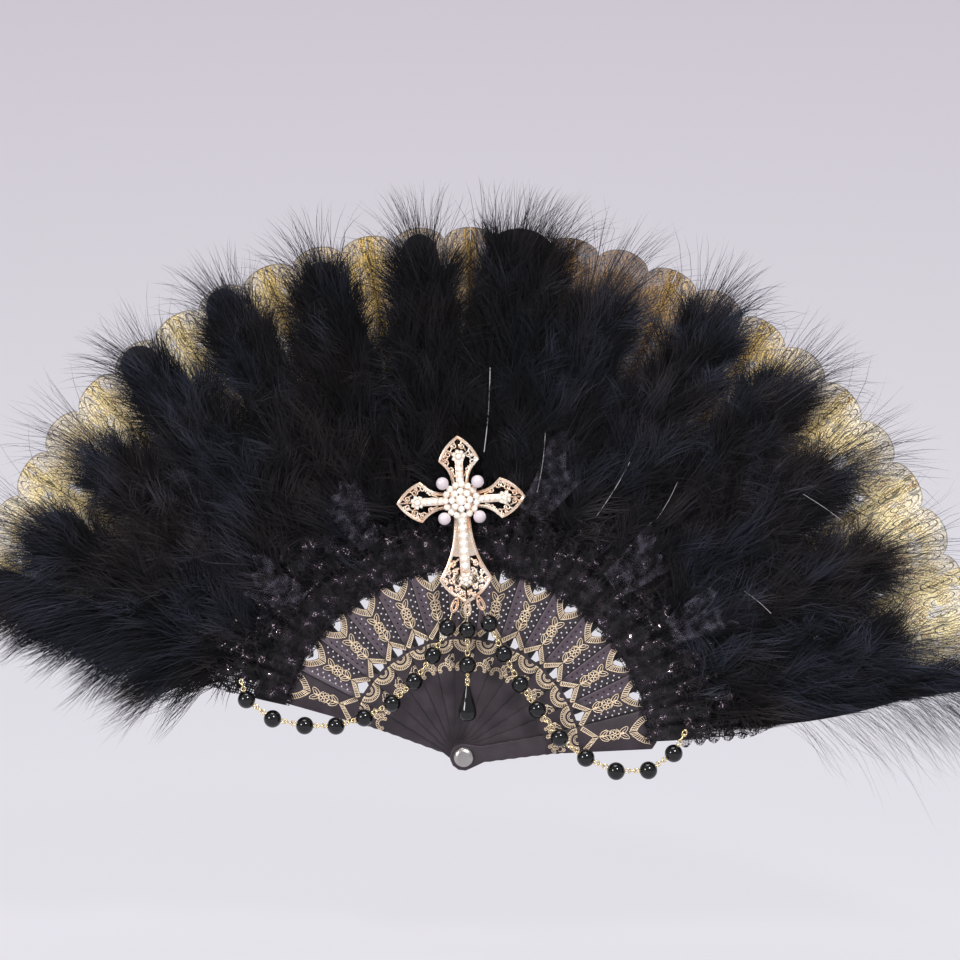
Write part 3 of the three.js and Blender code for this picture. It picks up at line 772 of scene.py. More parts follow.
MOUTH_LIP = [(0, 79.4), (1.5, 80.4), (2.8, 81.8), (3.7, 83.2), (4.2, 84.5)]


def drawn_on(piece, k):
    """Lays the stick's own upright drawing over a piece as its UV, a tenth of a metre to the unit.
    The guards have no painted lit band, edge highlight or edge shadow, so theirs has no width."""
    back = turned_to(stick_angle(k)).inverted()
    uvs = np.array([(back @ v.co)[:] for v in piece.data.vertices])[:, (0, 2)] * 10
    if k in (0, 13):
        uvs[:, 0] = 0
    layer = piece.data.uv_layers.get("UVMap") or piece.data.uv_layers.new(name="UVMap")
    corners = np.empty(len(piece.data.loops), np.int32)
    piece.data.loops.foreach_get("vertex_index", corners)
    layer.data.foreach_set("uv", uvs[corners].astype(np.float32).ravel())


def mouth_lip():
    """The thinner moulded edge inside the mouth of a rib's collar."""
    points, faces = [], []
    ring = [(0, 77.6), (6.3, 84.2)] + MOUTH_LIP[::-1]
    count = len(ring)
    for hand in (1, -1):
        start = len(points)
        for y in (0.1, 0.7):
            points += [(hand * x, y, z) for x, z in ring]
        faces.append([start + i for i in range(count)])
        faces.append([start + count + i for i in reversed(range(count))])
        for i in range(count):
            n = (i + 1) % count
            faces.append((start + n, start + i, start + count + i, start + count + n))
    return faced_out(woven("mouth_lip", points, faces))


def pierced_rib():
    """One rib, upright at the origin, pierced by its own dots and by the inner ones of the rib before it."""
    rib = whole_faced("rib_06", "rib_form")
    rib.data.transform(turned_to(stick_angle(6), front_of(6)).inverted())
    bpy.ops.object.select_all(action="DESELECT")
    bpy.ops.mesh.primitive_cylinder_add(vertices=8, radius=DOT_RADIUS * MM, depth=3 * MM,
                                        rotation=(math.pi / 2, 0, 0))
    punch = settle(bpy.context.object)
    places = dot_places()
    for x, z in dot_places():
        if -wedge_half(z) + 2.8 < x < 0:
            turn, out = math.atan2(x, z) + PITCH, math.hypot(x, z)
            places.append((out * math.sin(turn), out * math.cos(turn)))
    punches = [twin(punch, f"punch_{i}", Matrix.Translation((x * MM, RIB_THICK / 2 * MM, z * MM)))
               for i, (x, z) in enumerate(places)]
    thrown_away(punch)
    punches = merged("punches", punches)
    modified(rib, "BOOLEAN", operation="DIFFERENCE", object=punches, solver="EXACT")
    thrown_away(punches)
    rib = merged("rib_form", [softened(rib, 0.1, 1), mouth_lip()])
    return clothed(smooth(rib, 35), PLASTIC)


def dressed_sticks():
    """The twelve ribs from one pierced form, and the two guards."""
    form = pierced_rib()
    for k in range(1, 13):
        rib = twin(form, f"rib_{k:02d}_printed", turned_to(stick_angle(k), front_of(k)))
        drawn_on(rib, k)
        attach(rib, STICKS[k])
        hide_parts(STICKS[k])
    thrown_away(form)
    for k, node in ((0, "guard_front"), (13, "guard_back")):
        guard = softened(whole_faced(node, node + "_printed"), 0.5, 3)
        clothed(smooth(guard, 35), PLASTIC)
        drawn_on(guard, k)
        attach(guard, node)
        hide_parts(node)


# Print: raised foil lines, drawn once and set on every stick
def wire_shape(name, lines, half, flat=1.0, sides=0):
    """Lines as wire: each is a list of points in millimetres, (x, z) or (x, y, z), closed where it ends
    as it starts. half is the wire's radius, and flat squeezes it from front to back."""
    curve = bpy.data.curves.new(name, "CURVE")
    curve.dimensions = "3D"
    curve.bevel_depth = half * MM
    curve.bevel_resolution = sides
    curve.use_fill_caps = True
    for line in lines:
        points = [tuple(p) if len(p) == 3 else (p[0], 0.0, p[1]) for p in line]
        closed = len(points) > 3 and math.dist(points[0], points[-1]) < 1e-6
        if closed:
            points = points[:-1]
        spline = curve.splines.new("POLY")
        spline.points.add(len(points) - 1)
        for knot, (x, y, z) in zip(spline.points, points):
            knot.co = (x * MM, y * MM, z * MM, 1)
        spline.use_cyclic_u = closed
    holder = bpy.data.objects.new(name, curve)
    bpy.context.collection.objects.link(holder)
    only(holder)
    bpy.ops.object.convert(target="MESH")
    piece = bpy.context.object
    if flat != 1.0:
        piece.data.transform(Matrix.Diagonal((1, flat, 1, 1)))
    return piece


def arc(x, z, radius, start, end, steps=14):
    """Part of a circle, from one angle to another in degrees."""
    turns = [math.radians(start + (end - start) * i / steps) for i in range(steps + 1)]
    return [(x + radius * math.cos(turn), z + radius * math.sin(turn)) for turn in turns]


def ladder(first, second, rungs):
    """Two rails and the rungs between them."""
    lines = [first, second]
    for i in range(rungs):
        share = (i + 0.5) / rungs
        ends = []
        for rail in (first, second):
            at = share * (len(rail) - 1)
            low = min(int(at), len(rail) - 2)
            ends.append(tuple(a + (b - a) * (at - low) for a, b in zip(rail[low], rail[low + 1])))
        lines.append(ends)
    return lines


def curl(x, z, radius, start, turns, steps=14):
    """A spiral that winds in on itself."""
    line = []
    for i in range(steps + 1):
        reach, turn = radius * (1 - 0.75 * i / steps), start + turns * 2 * math.pi * i / steps
        line.append((x + reach * math.cos(turn), z + reach * math.sin(turn)))
    return line


def small_leaf(x, z, length, half, turn):
    """The outline of a leaf and its middle line, from its stalk outwards."""
    out = []
    for i in range(13):
        t = i / 12 * 2 * math.pi
        along = (1 - math.cos(t)) / 2
        across = half * math.sin(t) * (1.25 - 0.5 * along)
        out.append((along * length, across))
    out[-1] = out[0]
    cos, sin = math.cos(turn), math.sin(turn)
    return [[(x + a * cos - b * sin, z + a * sin + b * cos) for a, b in line]
            for line in (out, [(0.25 * length, 0), (0.75 * length, 0)])]


def mirrored(lines):
    """The lines, and the same on the other side of the middle line."""
    return lines + [[(-x, z) for x, z in line] for line in lines]


def scroll_print():
    """The scroll at the foot of the print, with three small leaves."""
    lines = ladder(arc(-1.3, 39.6, 2.9, 185, -5), arc(-1.3, 39.6, 1.7, 185, -5), 9)
    lines += [curl(-3.5, 39.0, 0.95, 0.6, -1.4), curl(1.2, 39.2, 0.85, math.pi, 1.4)]
    lines += small_leaf(1.9, 40.3, 2.6, 0.75, math.radians(80))
    lines += small_leaf(2.3, 40.0, 2.4, 0.7, math.radians(35))
    lines += small_leaf(1.2, 41.8, 2.8, 0.8, math.radians(115))
    lines += [arc(2.9, 43.6, 1.1, 200, -60, 8), curl(3.4, 45.2, 0.8, -1.2, 1.3)]
    lines += [[(-0.2, 43.0), (0.6, 44.4), (2.2, 45.8)]]
    return lines


def sunrise_print():
    """The half round of rays over the scroll."""
    lines = ladder(arc(0, 52.1, 5.2, 180, 360, 20), arc(0, 52.1, 3.7, 180, 360, 20), 17)
    lines += [arc(0, 52.1, 3.25, 180, 360, 14), arc(0, 52.1, 2.0, 180, 360, 12),
              arc(0, 52.1, 1.4, 180, 360, 10)]
    lines += [[(-5.2, 52.1), (-3.25, 52.1)], [(5.2, 52.1), (3.25, 52.1)]]
    return lines


def kite_print():
    """Two slanting bands that meet in a point."""
    lines = ladder([(-5.6, 55.2), (-0.2, 61.2)], [(-4.3, 53.9), (-0.2, 59.0)], 9)
    lines = mirrored(lines)
    lines += [[(-5.6, 55.2), (-4.3, 53.9)], [(5.6, 55.2), (4.3, 53.9)]]
    return lines


def flower_print():
    """A flower on a stem, with two pairs of leaves."""
    lines = []
    for hand in (1, -1):
        lines += small_leaf(0, 62.4, 4.2, 1.05, math.radians(90 - hand * 34))
        lines += small_leaf(0, 71.4, 4.6, 1.15, math.radians(90 - hand * 34))
    for i in range(6):
        turn = i * math.pi / 3
        lines += [arc(1.35 * math.cos(turn), 69.0 + 1.35 * math.sin(turn), 0.8, 0, 360, 8)]
    lines += [arc(0, 69.0, 0.55, 0, 360, 8), arc(0, 69.0, 2.5, 20, 160, 8), arc(0, 69.0, 2.5, 200, 340, 8)]
    lines += [[(0, 61.4), (0, 66.4)], [(0, 71.4), (0, 73.0)]]
    lines += mirrored([arc(1.1, 66.0, 1.0, -60, 120, 7)])
    return lines


def collar_print():
    """A forked collar whose two arms curve outwards, with rungs between their rails."""
    upper = [(0.15, 78.9), (1.3, 79.7), (2.7, 81.1), (3.6, 82.6), (4.3, 84.3)]
    lower = [(0.15, 75.6), (2.0, 77.0), (4.0, 79.0), (5.6, 81.3), (6.7, 84.2)]
    return mirrored(ladder(lower, upper, 10))


def printed_sticks():
    """The print, drawn once and set on every stick."""
    whole = scroll_print() + sunrise_print() + kite_print() + flower_print() + collar_print()
    form = wire_shape("print_form", whole, 0.175, 0.6)
    clothed(form, PRINT)
    for k, stick in enumerate(STICKS):
        copy = twin(form, f"{stick}_print", turned_to(stick_angle(k), front_of(k)))
        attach(copy, stick)
    thrown_away(form)


# Leaf: thirteen folded panels of sheer cloth
LEAF_COLUMNS = 33
LEAF_ROWS = 22
GUARD_LAND_HALF = 4.2


def land_front(k):
    """Where the leaf lies on the narrow strip of a stick."""
    if k == 0:
        return GUARD_FRONT + GUARD_THICK + LAYER_GAP
    return front_of(k) - LAYER_GAP - LEAF_THICK


def rim_drop(across):
    """How far the scalloped rim falls back; across is 0 and 1 on the sticks and 0.5 on the fold."""
    part = (across * 4) % 2
    away = min(part, 2 - part)
    return SCALLOP_DEPTH * (1 - math.sqrt(1 - (0.97 * away) ** 2))


def leaf_panel(j):
    """The leaf between two sticks: flat on both of them and folded forward in its middle."""
    points, uvs, inward = [], [], []
    front_low, front_high = land_front(j - 1), land_front(j)
    low, high = stick_angle(j - 1), stick_angle(j)
    middle = (low + high) / 2
    for i in range(LEAF_COLUMNS):
        across = i / (LEAF_COLUMNS - 1)
        rim = LEAF_OUTER - rim_drop(across)
        for row in range(LEAF_ROWS):
            radius = LEAF_INNER + (rim - LEAF_INNER) * row / (LEAF_ROWS - 1)
            land_low = low + (LAND_HALF if j > 1 else GUARD_LAND_HALF) / radius
            land_high = high - (LAND_HALF if j < 13 else GUARD_LAND_HALF) / radius
            angle = low + 0.15 / radius + (high - low - 0.3 / radius) * across
            crest = (front_low + front_high) / 2 - pleat_at(radius)
            if angle < land_low:
                y = front_low
            elif angle > land_high:
                y = front_high
            elif angle < middle:
                y = front_low + (crest - front_low) * (angle - land_low) / (middle - land_low)
            else:
                y = front_high + (crest - front_high) * (land_high - angle) / (land_high - middle)
            points.append((radius * math.cos(angle), y + 0.05, radius * math.sin(angle)))
            uvs.append((angle * LEAF_UV_RADIUS / UV_UNIT, radius / UV_UNIT))
            inward.append(rim - radius)
    panel = cloth(f"leaf_panel_{j:02d}", points, LEAF_COLUMNS, LEAF_ROWS, uvs, LEAF)
    attribute = panel.data.attributes.new("inward", "FLOAT", "POINT")
    attribute.data.foreach_set("value", np.array(inward, np.float32))
    blend_between(panel)
    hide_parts(f"leaf_{j:02d}")


def blend_between(piece):
    """Puts the place of a piece that lies between two sticks into its mesh."""
    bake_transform(piece)


# Plumes: barbs in tufts along a shaft, over a close vane
def barbs(roots, leads, swings, lengths, widths, rng):
    """Ribbons that run from roots along leads and turn towards swings, all in a plume's own frame.
    Returns their points, the faces of the ribbons and of their tips, how far along each point is,
    and how many points one ribbon has."""
    taper = np.array([0.8, 1.0, 0.9, 0.7])
    count, segments = len(roots), len(taper)
    steps = np.linspace(0, 1, segments + 1)[None, :, None]
    first = roots[:, None, :]
    second = first + (leads * lengths[:, None] * 0.5)[:, None, :]
    third = second + (swings * lengths[:, None] * 0.5)[:, None, :]
    line = first * (1 - steps) ** 2 + second * 2 * steps * (1 - steps) + third * steps ** 2
    waves = rng.normal(0, 0.03, (count, 1, 3)) * lengths[:, None, None]
    pace, shift = rng.uniform(3, 8, (count, 1, 1)), rng.uniform(0, 6, (count, 1, 1))
    line = line + waves * np.sin(steps * pace + shift) * steps
    along = np.gradient(line, axis=1)
    along /= np.linalg.norm(along, axis=2, keepdims=True) + 1e-9
    facing = np.array([0.0, -1.0, 0.0]) + rng.normal(0, 0.55, (count, 1, 3))
    side = np.cross(along, facing)
    side /= np.linalg.norm(side, axis=2, keepdims=True) + 1e-9
    half = side[:, :-1] * taper[None, :, None] * widths[:, None, None] * 0.5
    body = np.stack([line[:, :-1] - half, line[:, :-1] + half], axis=2).reshape(count, 2 * segments, 3)
    points = np.concatenate([body, line[:, -1:]], axis=1)
    each = 2 * segments + 1
    base = (np.arange(count) * each)[:, None]
    quads = [base + np.array([[s, s + 1, s + 3, s + 2]]) for s in range(0, 2 * segments - 2, 2)]
    tips = base + np.array([[2 * segments - 2, 2 * segments - 1, 2 * segments]])
    far = np.concatenate([np.repeat(steps[0, :-1, 0], 2), [1.0]])
    return points.reshape(-1, 3), np.concatenate(quads), tips, np.tile(far, count), each


def headings(lean, rise):
    """Directions in a plume's own frame: lean turns from outwards to the right, rise lifts to the front."""
    return np.stack([np.sin(lean) * np.cos(rise), -np.sin(rise), np.cos(lean) * np.cos(rise)], axis=1)


# Each plume from the right guard to the left: how far out its vane and its down reach, how broad it is,
# how many long hairs its crown has, and how bright its sheen is
VANE_TOPS = (215, 196, 200, 206, 216, 222, 206, 240, 237, 233, 239, 239, 212, 214, 210)
DOWN_TOPS = (232, 212, 216, 221, 231, 237, 222, 240, 237, 236, 239, 239, 226, 228, 232)
BREADTHS = (1, 1, 1.05, 1.05, 1.1, 1.1, 1.15, 1.5, 1, 1.05, 1, 1.05, 1, 1, 1)
HAIRS = (0, 110, 120, 150, 190, 230, 170, 330, 170, 150, 150, 170, 110, 100, 0)
SHEENS = (1, 1, 1, 0.95, 0.9, 0.85, 0.7, 0.4, 0.45, 0.6, 0.75, 0.85, 1, 1, 1)


def tufts(rng, count, each, reach, half, long):
    """Barbs set in tufts about a shaft: their roots, headings, lengths and tones. reach is the span of radii
    of the roots, half the half width there and long the lengths, near the root and near the end."""
    share = rng.beta(1.1, 1.0, count)
    wide = half[0] + (half[1] - half[0]) * share ** 1.6
    side = rng.uniform(-1, 1, count)
    lean = side * (0.8 - 0.3 * share) + rng.normal(0, 1, count) * 0.5 * (1 - 0.45 * share)
    rise = rng.uniform(-0.1, 0.85, count) * (1 - 0.5 * share)
    length = (long[0] + (long[1] - long[0]) * share) * rng.uniform(0.7, 1.25, count)
    level = rng.beta(1.0, 1.3, count)
    shade = np.clip(0.8 * rng.beta(1.0, 3.6, count), 0, 1)
    pick = np.repeat(np.arange(count), each)
    total = len(pick)
    radius = reach[0] + (reach[1] - reach[0]) * share[pick] + rng.normal(0, 2.0, total)
    x = side[pick] * wide[pick] * 0.8 + rng.normal(0, 1.5, total)
    y = -(0.3 + 5.0 * level[pick] * (1 - 0.45 * share[pick]) + rng.uniform(0, 1.0, total))
    roots = np.stack([x, y, np.minimum(radius, reach[1] + 2)], axis=1)
    turn = rng.normal(0, 0.6, count)
    leads = headings(lean[pick] * 0.75 + rng.normal(0, 0.13, total), rise[pick] + rng.normal(0, 0.12, total))
    swings = headings(lean[pick] + turn[pick] + rng.normal(0, 0.2, total),
                      rise[pick] * 0.1 - 0.12 + rng.normal(0, 0.2, total))
    lengths = length[pick] * rng.uniform(0.6, 1.15, total)
    tones = np.clip(shade[pick] + rng.normal(0, 0.05, total), 0, 1)
    return roots, leads, swings, lengths, tones


def fringe(rng, count, low, top, wide, lean, long):
    """Long fine single barbs that stand clear of the mass."""
    share = rng.beta(2.2, 1.0, count)
    side = rng.uniform(-1, 1, count)
    roots = np.stack([side * wide, -rng.uniform(0.5, 5, count), low + (top - low) * share], axis=1)
    turn = side * lean[0] + rng.normal(0, lean[1], count)
    leads = headings(turn * 0.6, rng.uniform(-0.1, 0.4, count))
    swings = headings(turn * 1.25, rng.normal(0.0, 0.25, count))
    lengths = rng.uniform(*long, count) * (0.7 + 0.5 * rng.random(count) ** 3)
    return roots, leads, swings, lengths, rng.uniform(0.3, 0.8, count)


def hackle(rng, count, top, wide, bias):
    """The longest hairs of a plume's end: they rise from its crown and sweep over the rim of the leaf.
    bias leans them all to the right."""
    side = rng.normal(0, 0.55, count)
    roots = np.stack([side * wide, -rng.uniform(0.5, 4, count), top - rng.uniform(4, 34, count)], axis=1)
    turn = side * 0.55 + rng.normal(0, 0.2, count) + bias
    leads = headings(turn * 0.45, rng.uniform(-0.1, 0.3, count))
    swings = headings(turn * 1.5, rng.normal(0.0, 0.2, count))
    reach = np.clip(266 - roots[:, 2], 20, 66)
    return roots, leads, swings, reach * rng.uniform(0.4, 1.0, count), rng.uniform(0.3, 0.8, count)


def strays(rng, count, each, reach, half):
    """Curly loose tufts that lie over the mass in every direction."""
    radius = rng.uniform(*reach, count)
    side = rng.uniform(-1, 1, count) * half
    lean = rng.normal(0, 0.95, count)
    turn = rng.normal(0, 1.0, count)
    rise = rng.uniform(0.0, 0.55, count)
    long = rng.uniform(10, 21, count)
    shade = rng.beta(1.1, 1.5, count) * 1.05
    pick = np.repeat(np.arange(count), each)
    total = len(pick)
    roots = np.stack([side[pick] + rng.normal(0, 1.1, total), -rng.uniform(3.2, 6.0, total),
                      radius[pick] + rng.normal(0, 1.3, total)], axis=1)
    leads = headings(lean[pick] + rng.normal(0, 0.25, total), rise[pick] + rng.normal(0, 0.15, total))
    swings = headings(lean[pick] + turn[pick] + rng.normal(0, 0.35, total), rng.normal(-0.1, 0.25, total))
    return roots, leads, swings, long[pick] * rng.uniform(0.55, 1.1, total), shade[pick]


def with_widths(rng, strands, least, most, tone_and_sheen=1.0):
    """The same barbs with their widths, and with their tones, which also set their painted sheen, times the
    last argument.
    """
    roots, leads, swings, lengths, tones = strands
    return roots, leads, swings, lengths, rng.uniform(least, most, len(roots)), tones * tone_and_sheen


def hanging_plume(k, rng, top):
    """The barbs of a plume at an end of the fan, which hang past the guard.
    The tufts of the right one stay above its guard, and only its wisps hang below it."""
    if k == 0:
        hand, fall, fine = 1, 1.62, (0.07, 0.12)
        body = tufts(rng, 170, 34, (146.0, top - 12), (10, 8), (26, 18))
        wisps = fringe(rng, 620, 136, top + 4, 9, (0.3, 0.35), (34, 52))
    else:
        hand, fall, fine = -1, -1.35, (0.09, 0.17)
        body = tufts(rng, 230, 34, (112.0, top - 12), (10, 8), (44, 28))
        wisps = fringe(rng, 420, 112.0, top + 4, 9, (0.3, 0.6), (24, 44))
    sets = []
    for strands, thick in ((body, (0.16, 0.34)), (wisps, fine)):
        roots, leads, swings, lengths, tones = strands
        above = k == 0 and strands is body
        share = np.clip(np.abs(roots[:, 0]) / 8, 0, 1)[:, None]
        hang = headings(np.full(len(roots), -0.05 if above else fall), np.zeros(len(roots)))
        if above:
            roots[:, 0] = np.abs(roots[:, 0]) * 0.9 - 10.0
        else:
            roots[:, 0] = (np.abs(roots[:, 0]) * 1.3 - 6.0) * hand
        leads = leads * (1 - 0.3 * share) + hang * (0.4 + 0.4 * share)
        swings = swings * 0.55 + hang * 0.85
        if above:
            leads[:, 0] = np.minimum(leads[:, 0], 0.12)
            swings[:, 0] = np.minimum(swings[:, 0], 0.18)
        leads /= np.linalg.norm(leads, axis=1, keepdims=True)
        swings /= np.linalg.norm(swings, axis=1, keepdims=True)
        sets.append(with_widths(rng, (roots, leads, swings, lengths, tones), *thick))
    return sets


def standing_plume(k, rng, top):
    """The barbs of a plume over a fold of the leaf: tufts, side wisps, loose curls and the crown's hairs."""
    bias = 0.34 if k < 7 else 0.3 if k == 7 else -0.22
    wide = BREADTHS[k]
    body = tufts(rng, int(235 * wide), 30, (110.0, top - 17), (19, 11 * wide), (30, 21))
    sets = [with_widths(rng, body, 0.16, 0.34)]
    sides = fringe(rng, 440 if k < 9 else 340, 135, top - 10, 15, (0.85, 0.4), (14, 29))
    sets.append(with_widths(rng, sides, 0.08, 0.17, 0.6))
    sets.append(with_widths(rng, strays(rng, 46, 26, (106.0, top - 22), 17), 0.1, 0.2))
    sets.append(with_widths(rng, hackle(rng, HAIRS[k], top, 8 * wide ** 2, bias), 0.13, 0.25))
    return sets


def plume(k, rng):
    """All the barbs of one plume, drawn upright at the fan's middle line."""
    top = DOWN_TOPS[k]
    sets = hanging_plume(k, rng, top) if k in END_PLUMES else standing_plume(k, rng, top)
    fuzz = fringe(rng, 1300, 112, top - 6, 6 if k in END_PLUMES else 14, (0.6, 0.9), (5, 12))
    fuzz[0][:, 0] -= {0: 9.0, 14: -5.0}.get(k, 0.0)
    sets.append(with_widths(rng, fuzz, 0.06, 0.11))
    points, faces, shades, start = [], [], [], 0
    for roots, leads, swings, lengths, widths, tones in sets:
        p, quads, tips, far, each = barbs(roots, leads, swings, lengths, widths, rng)
        points.append(p)
        faces += (quads + start).tolist() + (tips + start).tolist()
        # Painted sheen: each barb's tone grows towards its tip and is scaled by its plume's sheen
        shades.append(np.repeat(tones, each) * (0.3 + 0.7 * far) * SHEENS[k])
        start += len(p)
    return np.concatenate(points), faces, np.concatenate(shades)


# The end plumes stand this far past their guards. The barbs bend back where they reach this far out and
# forward, in millimetres, each over the length that follows it
PAST_GUARD = math.radians(0.9)
REACH, REACH_BEND = 252, 14
FORWARD, FORWARD_BEND = 6, 7


def plume_middle(k):
    """The angle of a plume's shaft."""
    if k == 0:
        return FIRST_ANGLE - PAST_GUARD
    if k == 14:
        return stick_angle(13) + PAST_GUARD
    return stick_angle(k) - PITCH / 2


def set_on_fan(points, middle):
    """Takes a plume's own points to the fan: x to the right, z outwards, y forward of the leaf.
    The longest barbs bend back before they leave the fan's depth and reach."""
    out = np.hypot(points[:, 0], points[:, 2])
    eased = np.where(out > REACH, REACH + REACH_BEND * np.tanh((out - REACH) / REACH_BEND), out) / out
    radius = points[:, 2] * eased
    points = points * np.stack([eased, np.ones(len(points)), eased], axis=1)
    bent = -FORWARD - FORWARD_BEND * np.tanh((-points[:, 1] - FORWARD) / FORWARD_BEND)
    points[:, 1] = np.where(points[:, 1] < -FORWARD, bent, points[:, 1])
    x = radius * math.cos(middle) + points[:, 0] * math.sin(middle)
    z = radius * math.sin(middle) - points[:, 0] * math.cos(middle)
    first, last, away = stick_angle(0), stick_angle(13), np.hypot(x, z)
    angle = np.arctan2(z, x)
    angle = np.clip(np.where(angle < -math.pi / 2, angle + 2 * math.pi, angle), first - 0.3, last + 0.3)
    over_leaf = (angle > first) & (angle < last)
    behind = np.maximum(0, away - LEAF_OUTER) * 0.5 - 0.1
    points[:, 1] = np.where(over_leaf, np.minimum(points[:, 1], behind), points[:, 1])
    y = plume_back(np.clip(away, PLUME_INNER, LEAF_OUTER), angle) + points[:, 1]
    return np.stack([x, np.maximum(y, before_cross(x, z)), z], axis=1)


def before_cross(x, z):
    """How far forward a barb may stand at a place, so that it stays behind the cross."""
    cos, sin = math.cos(CROSS_TILT), math.sin(CROSS_TILT)
    across = np.abs((x - CROSS_CENTRE[0]) * cos + (z - CROSS_CENTRE[1]) * sin)
    up = (z - CROSS_CENTRE[1]) * cos - (x - CROSS_CENTRE[0]) * sin
    far = np.where(up < 0, -up - FOOT, up - ARM)
    upright = np.maximum(0, np.maximum(across - 12, far))
    level = np.maximum(0, np.maximum(np.abs(up) - 11, across - ARM))
    return CROSS_FRONT + 2.4 - 1.4 * np.maximum(0, np.minimum(upright, level) - 1.5)


def over_guard(points):
    """Keeps the barbs of the first plume from hanging below the edge of the front guard."""
    below = points[:, 0] * math.sin(FIRST_ANGLE) - points[:, 2] * math.cos(FIRST_ANGLE)
    past = np.maximum(0, below - 3.5)
    moved = past - 2.4 * np.tanh(past / 8)
    points[:, 0] -= moved * math.sin(FIRST_ANGLE)
    points[:, 2] += moved * math.cos(FIRST_ANGLE)
    return points


def vane(name, k):
    """The close vane at the heart of a plume: a thin crowned leaf shape with a rounded end."""
    columns, rows = 9, 26
    foot, top = 100, VANE_TOPS[k]
    aside = {0: 3.0, 14: 1.0}.get(k, 0.0)
    points, uvs = [], []
    for front in (True, False):
        for i in range(columns):
            across = i / (columns - 1) * 2 - 1
            for j in range(rows):
                share = math.sin(math.pi / 2 * j / (rows - 1))
                radius = foot + (top - foot) * share
                end = math.sqrt(max(0.0, 1 - max(0.0, (radius - (top - 8)) / 8) ** 2))
                if k in END_PLUMES:
                    half = 7.0 * math.sin(math.pi * min(1, 0.06 + 0.94 * share)) + 0.2
                else:
                    half = np.interp(top - radius, [0, 10, 30, 60, 140], [7.5, 8.5, 11.5, 13, 11])
                    half *= max(end, 0.02)
                    half *= 1 + (BREADTHS[k] - 1) * 1.4 * min(1, (radius - foot) / 90)
                swell = (1 - across ** 2) * 2.0 * max(end, 0.1) if front else -0.1
                points.append((across * half - aside, -0.2 - swell, radius))
                uvs.append((abs(across) * 0.15 - share * 0.1 + 0.5, share))
    faces = grid_faces(columns, rows)
    back = [tuple(columns * rows + v for v in reversed(face)) for face in faces]
    piece = faced_out(woven(name, set_on_fan(np.array(points), plume_middle(k)), faces + back, uvs),
                      WIDE_WELD)
    bpy.ops.object.shade_smooth()
    return clothed(piece, VANE)


def dressed_plumes():
    """Each plume: its down and its vane, on a guard at the ends, and with its place put into its mesh over a
    fold between.
    """
    for k in range(15):
        rng = np.random.default_rng(500 + k)
        points, faces, shades = plume(k, rng)
        lean = 0.0 if k in END_PLUMES else rng.normal(0, 0.012)
        points = set_on_fan(points, plume_middle(k) + lean)
        down = woven(f"plume_{k:02d}_down", over_guard(points) if k == 1 else points, faces)
        attribute = down.data.attributes.new("tone_and_sheen", "FLOAT", "POINT")
        attribute.data.foreach_set("value", shades.astype(np.float32))
        clothed(down, DOWN)
        heart = vane(f"plume_{k:02d}_vane", k)
        for piece in (down, heart):
            if k == 0:
                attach(piece, "guard_front")
            elif k == 14:
                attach(piece, "guard_back")
            else:
                blend_between(piece)
        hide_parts(f"plume_{k:02d}")


# Lace: a ruffled band over the roots of the plumes, a panel between each two sticks
LACE_COLUMNS = 37
LACE_ROWS = 13
LACE_START = math.radians(5.0)
LACE_END = math.radians(165.0)
OVER_OUTER = 109.0
EDGING_UNIT = 60


def lace_panel(j, layer):
    """The ruffle between two sticks: layer 0 is the long one under and layer 1 the short one over it."""
    low = LACE_START if j == 1 else stick_angle(j - 1)
    high = LACE_END if j == 13 else stick_angle(j)
    outer = LACE_OUTER + 1.0 if layer == 0 else OVER_OUTER
    points, uvs = [], []
    for i in range(LACE_COLUMNS):
        angle = low + (high - low) * i / (LACE_COLUMNS - 1)
        wave = math.sin(angle * 63 + layer * 1.9) + 0.45 * math.sin(angle * 141 + 0.7 + layer)
        edge = abs(math.sin(angle * 31 + layer))
        start = LACE_INNER + 0.8 * math.sin(angle * 97) + 0.6 * math.sin(angle * 41 + 1) - 1.6 + 1.5 * layer
        for row in range(LACE_ROWS):
            share = row / (LACE_ROWS - 1)
            radius = start + (outer + 3.5 * edge - start) * share
            lift = (0.25 + 1.6 * share) * (0.9 + wave) * 0.62 + layer * (0.7 + 2.0 * share)
            y = float(lace_back(radius, angle)) - 0.35 - max(0.0, lift)
            points.append((radius * math.cos(angle), y, radius * math.sin(angle)))
            uvs.append((angle * LACE_UV_RADIUS / UV_UNIT + layer * 0.37, radius / UV_UNIT))
    name = f"lace_panel_{j:02d}_{'under' if layer == 0 else 'over'}"
    piece = cloth(name, points, LACE_COLUMNS, LACE_ROWS, uvs, LACE)
    blend_between(piece)
    return piece


def dressed_lace():
    """All the lace, two layers to a panel. Each band of the frame spans about two panels, and it is hidden
    where the first of them is made."""
    for j in range(1, 14):
        under = lace_panel(j, 0)
        lace_panel(j, 1)
        if j % 2:
            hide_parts(f"lace_{(j + 1) // 2:02d}")
    lace_edging()


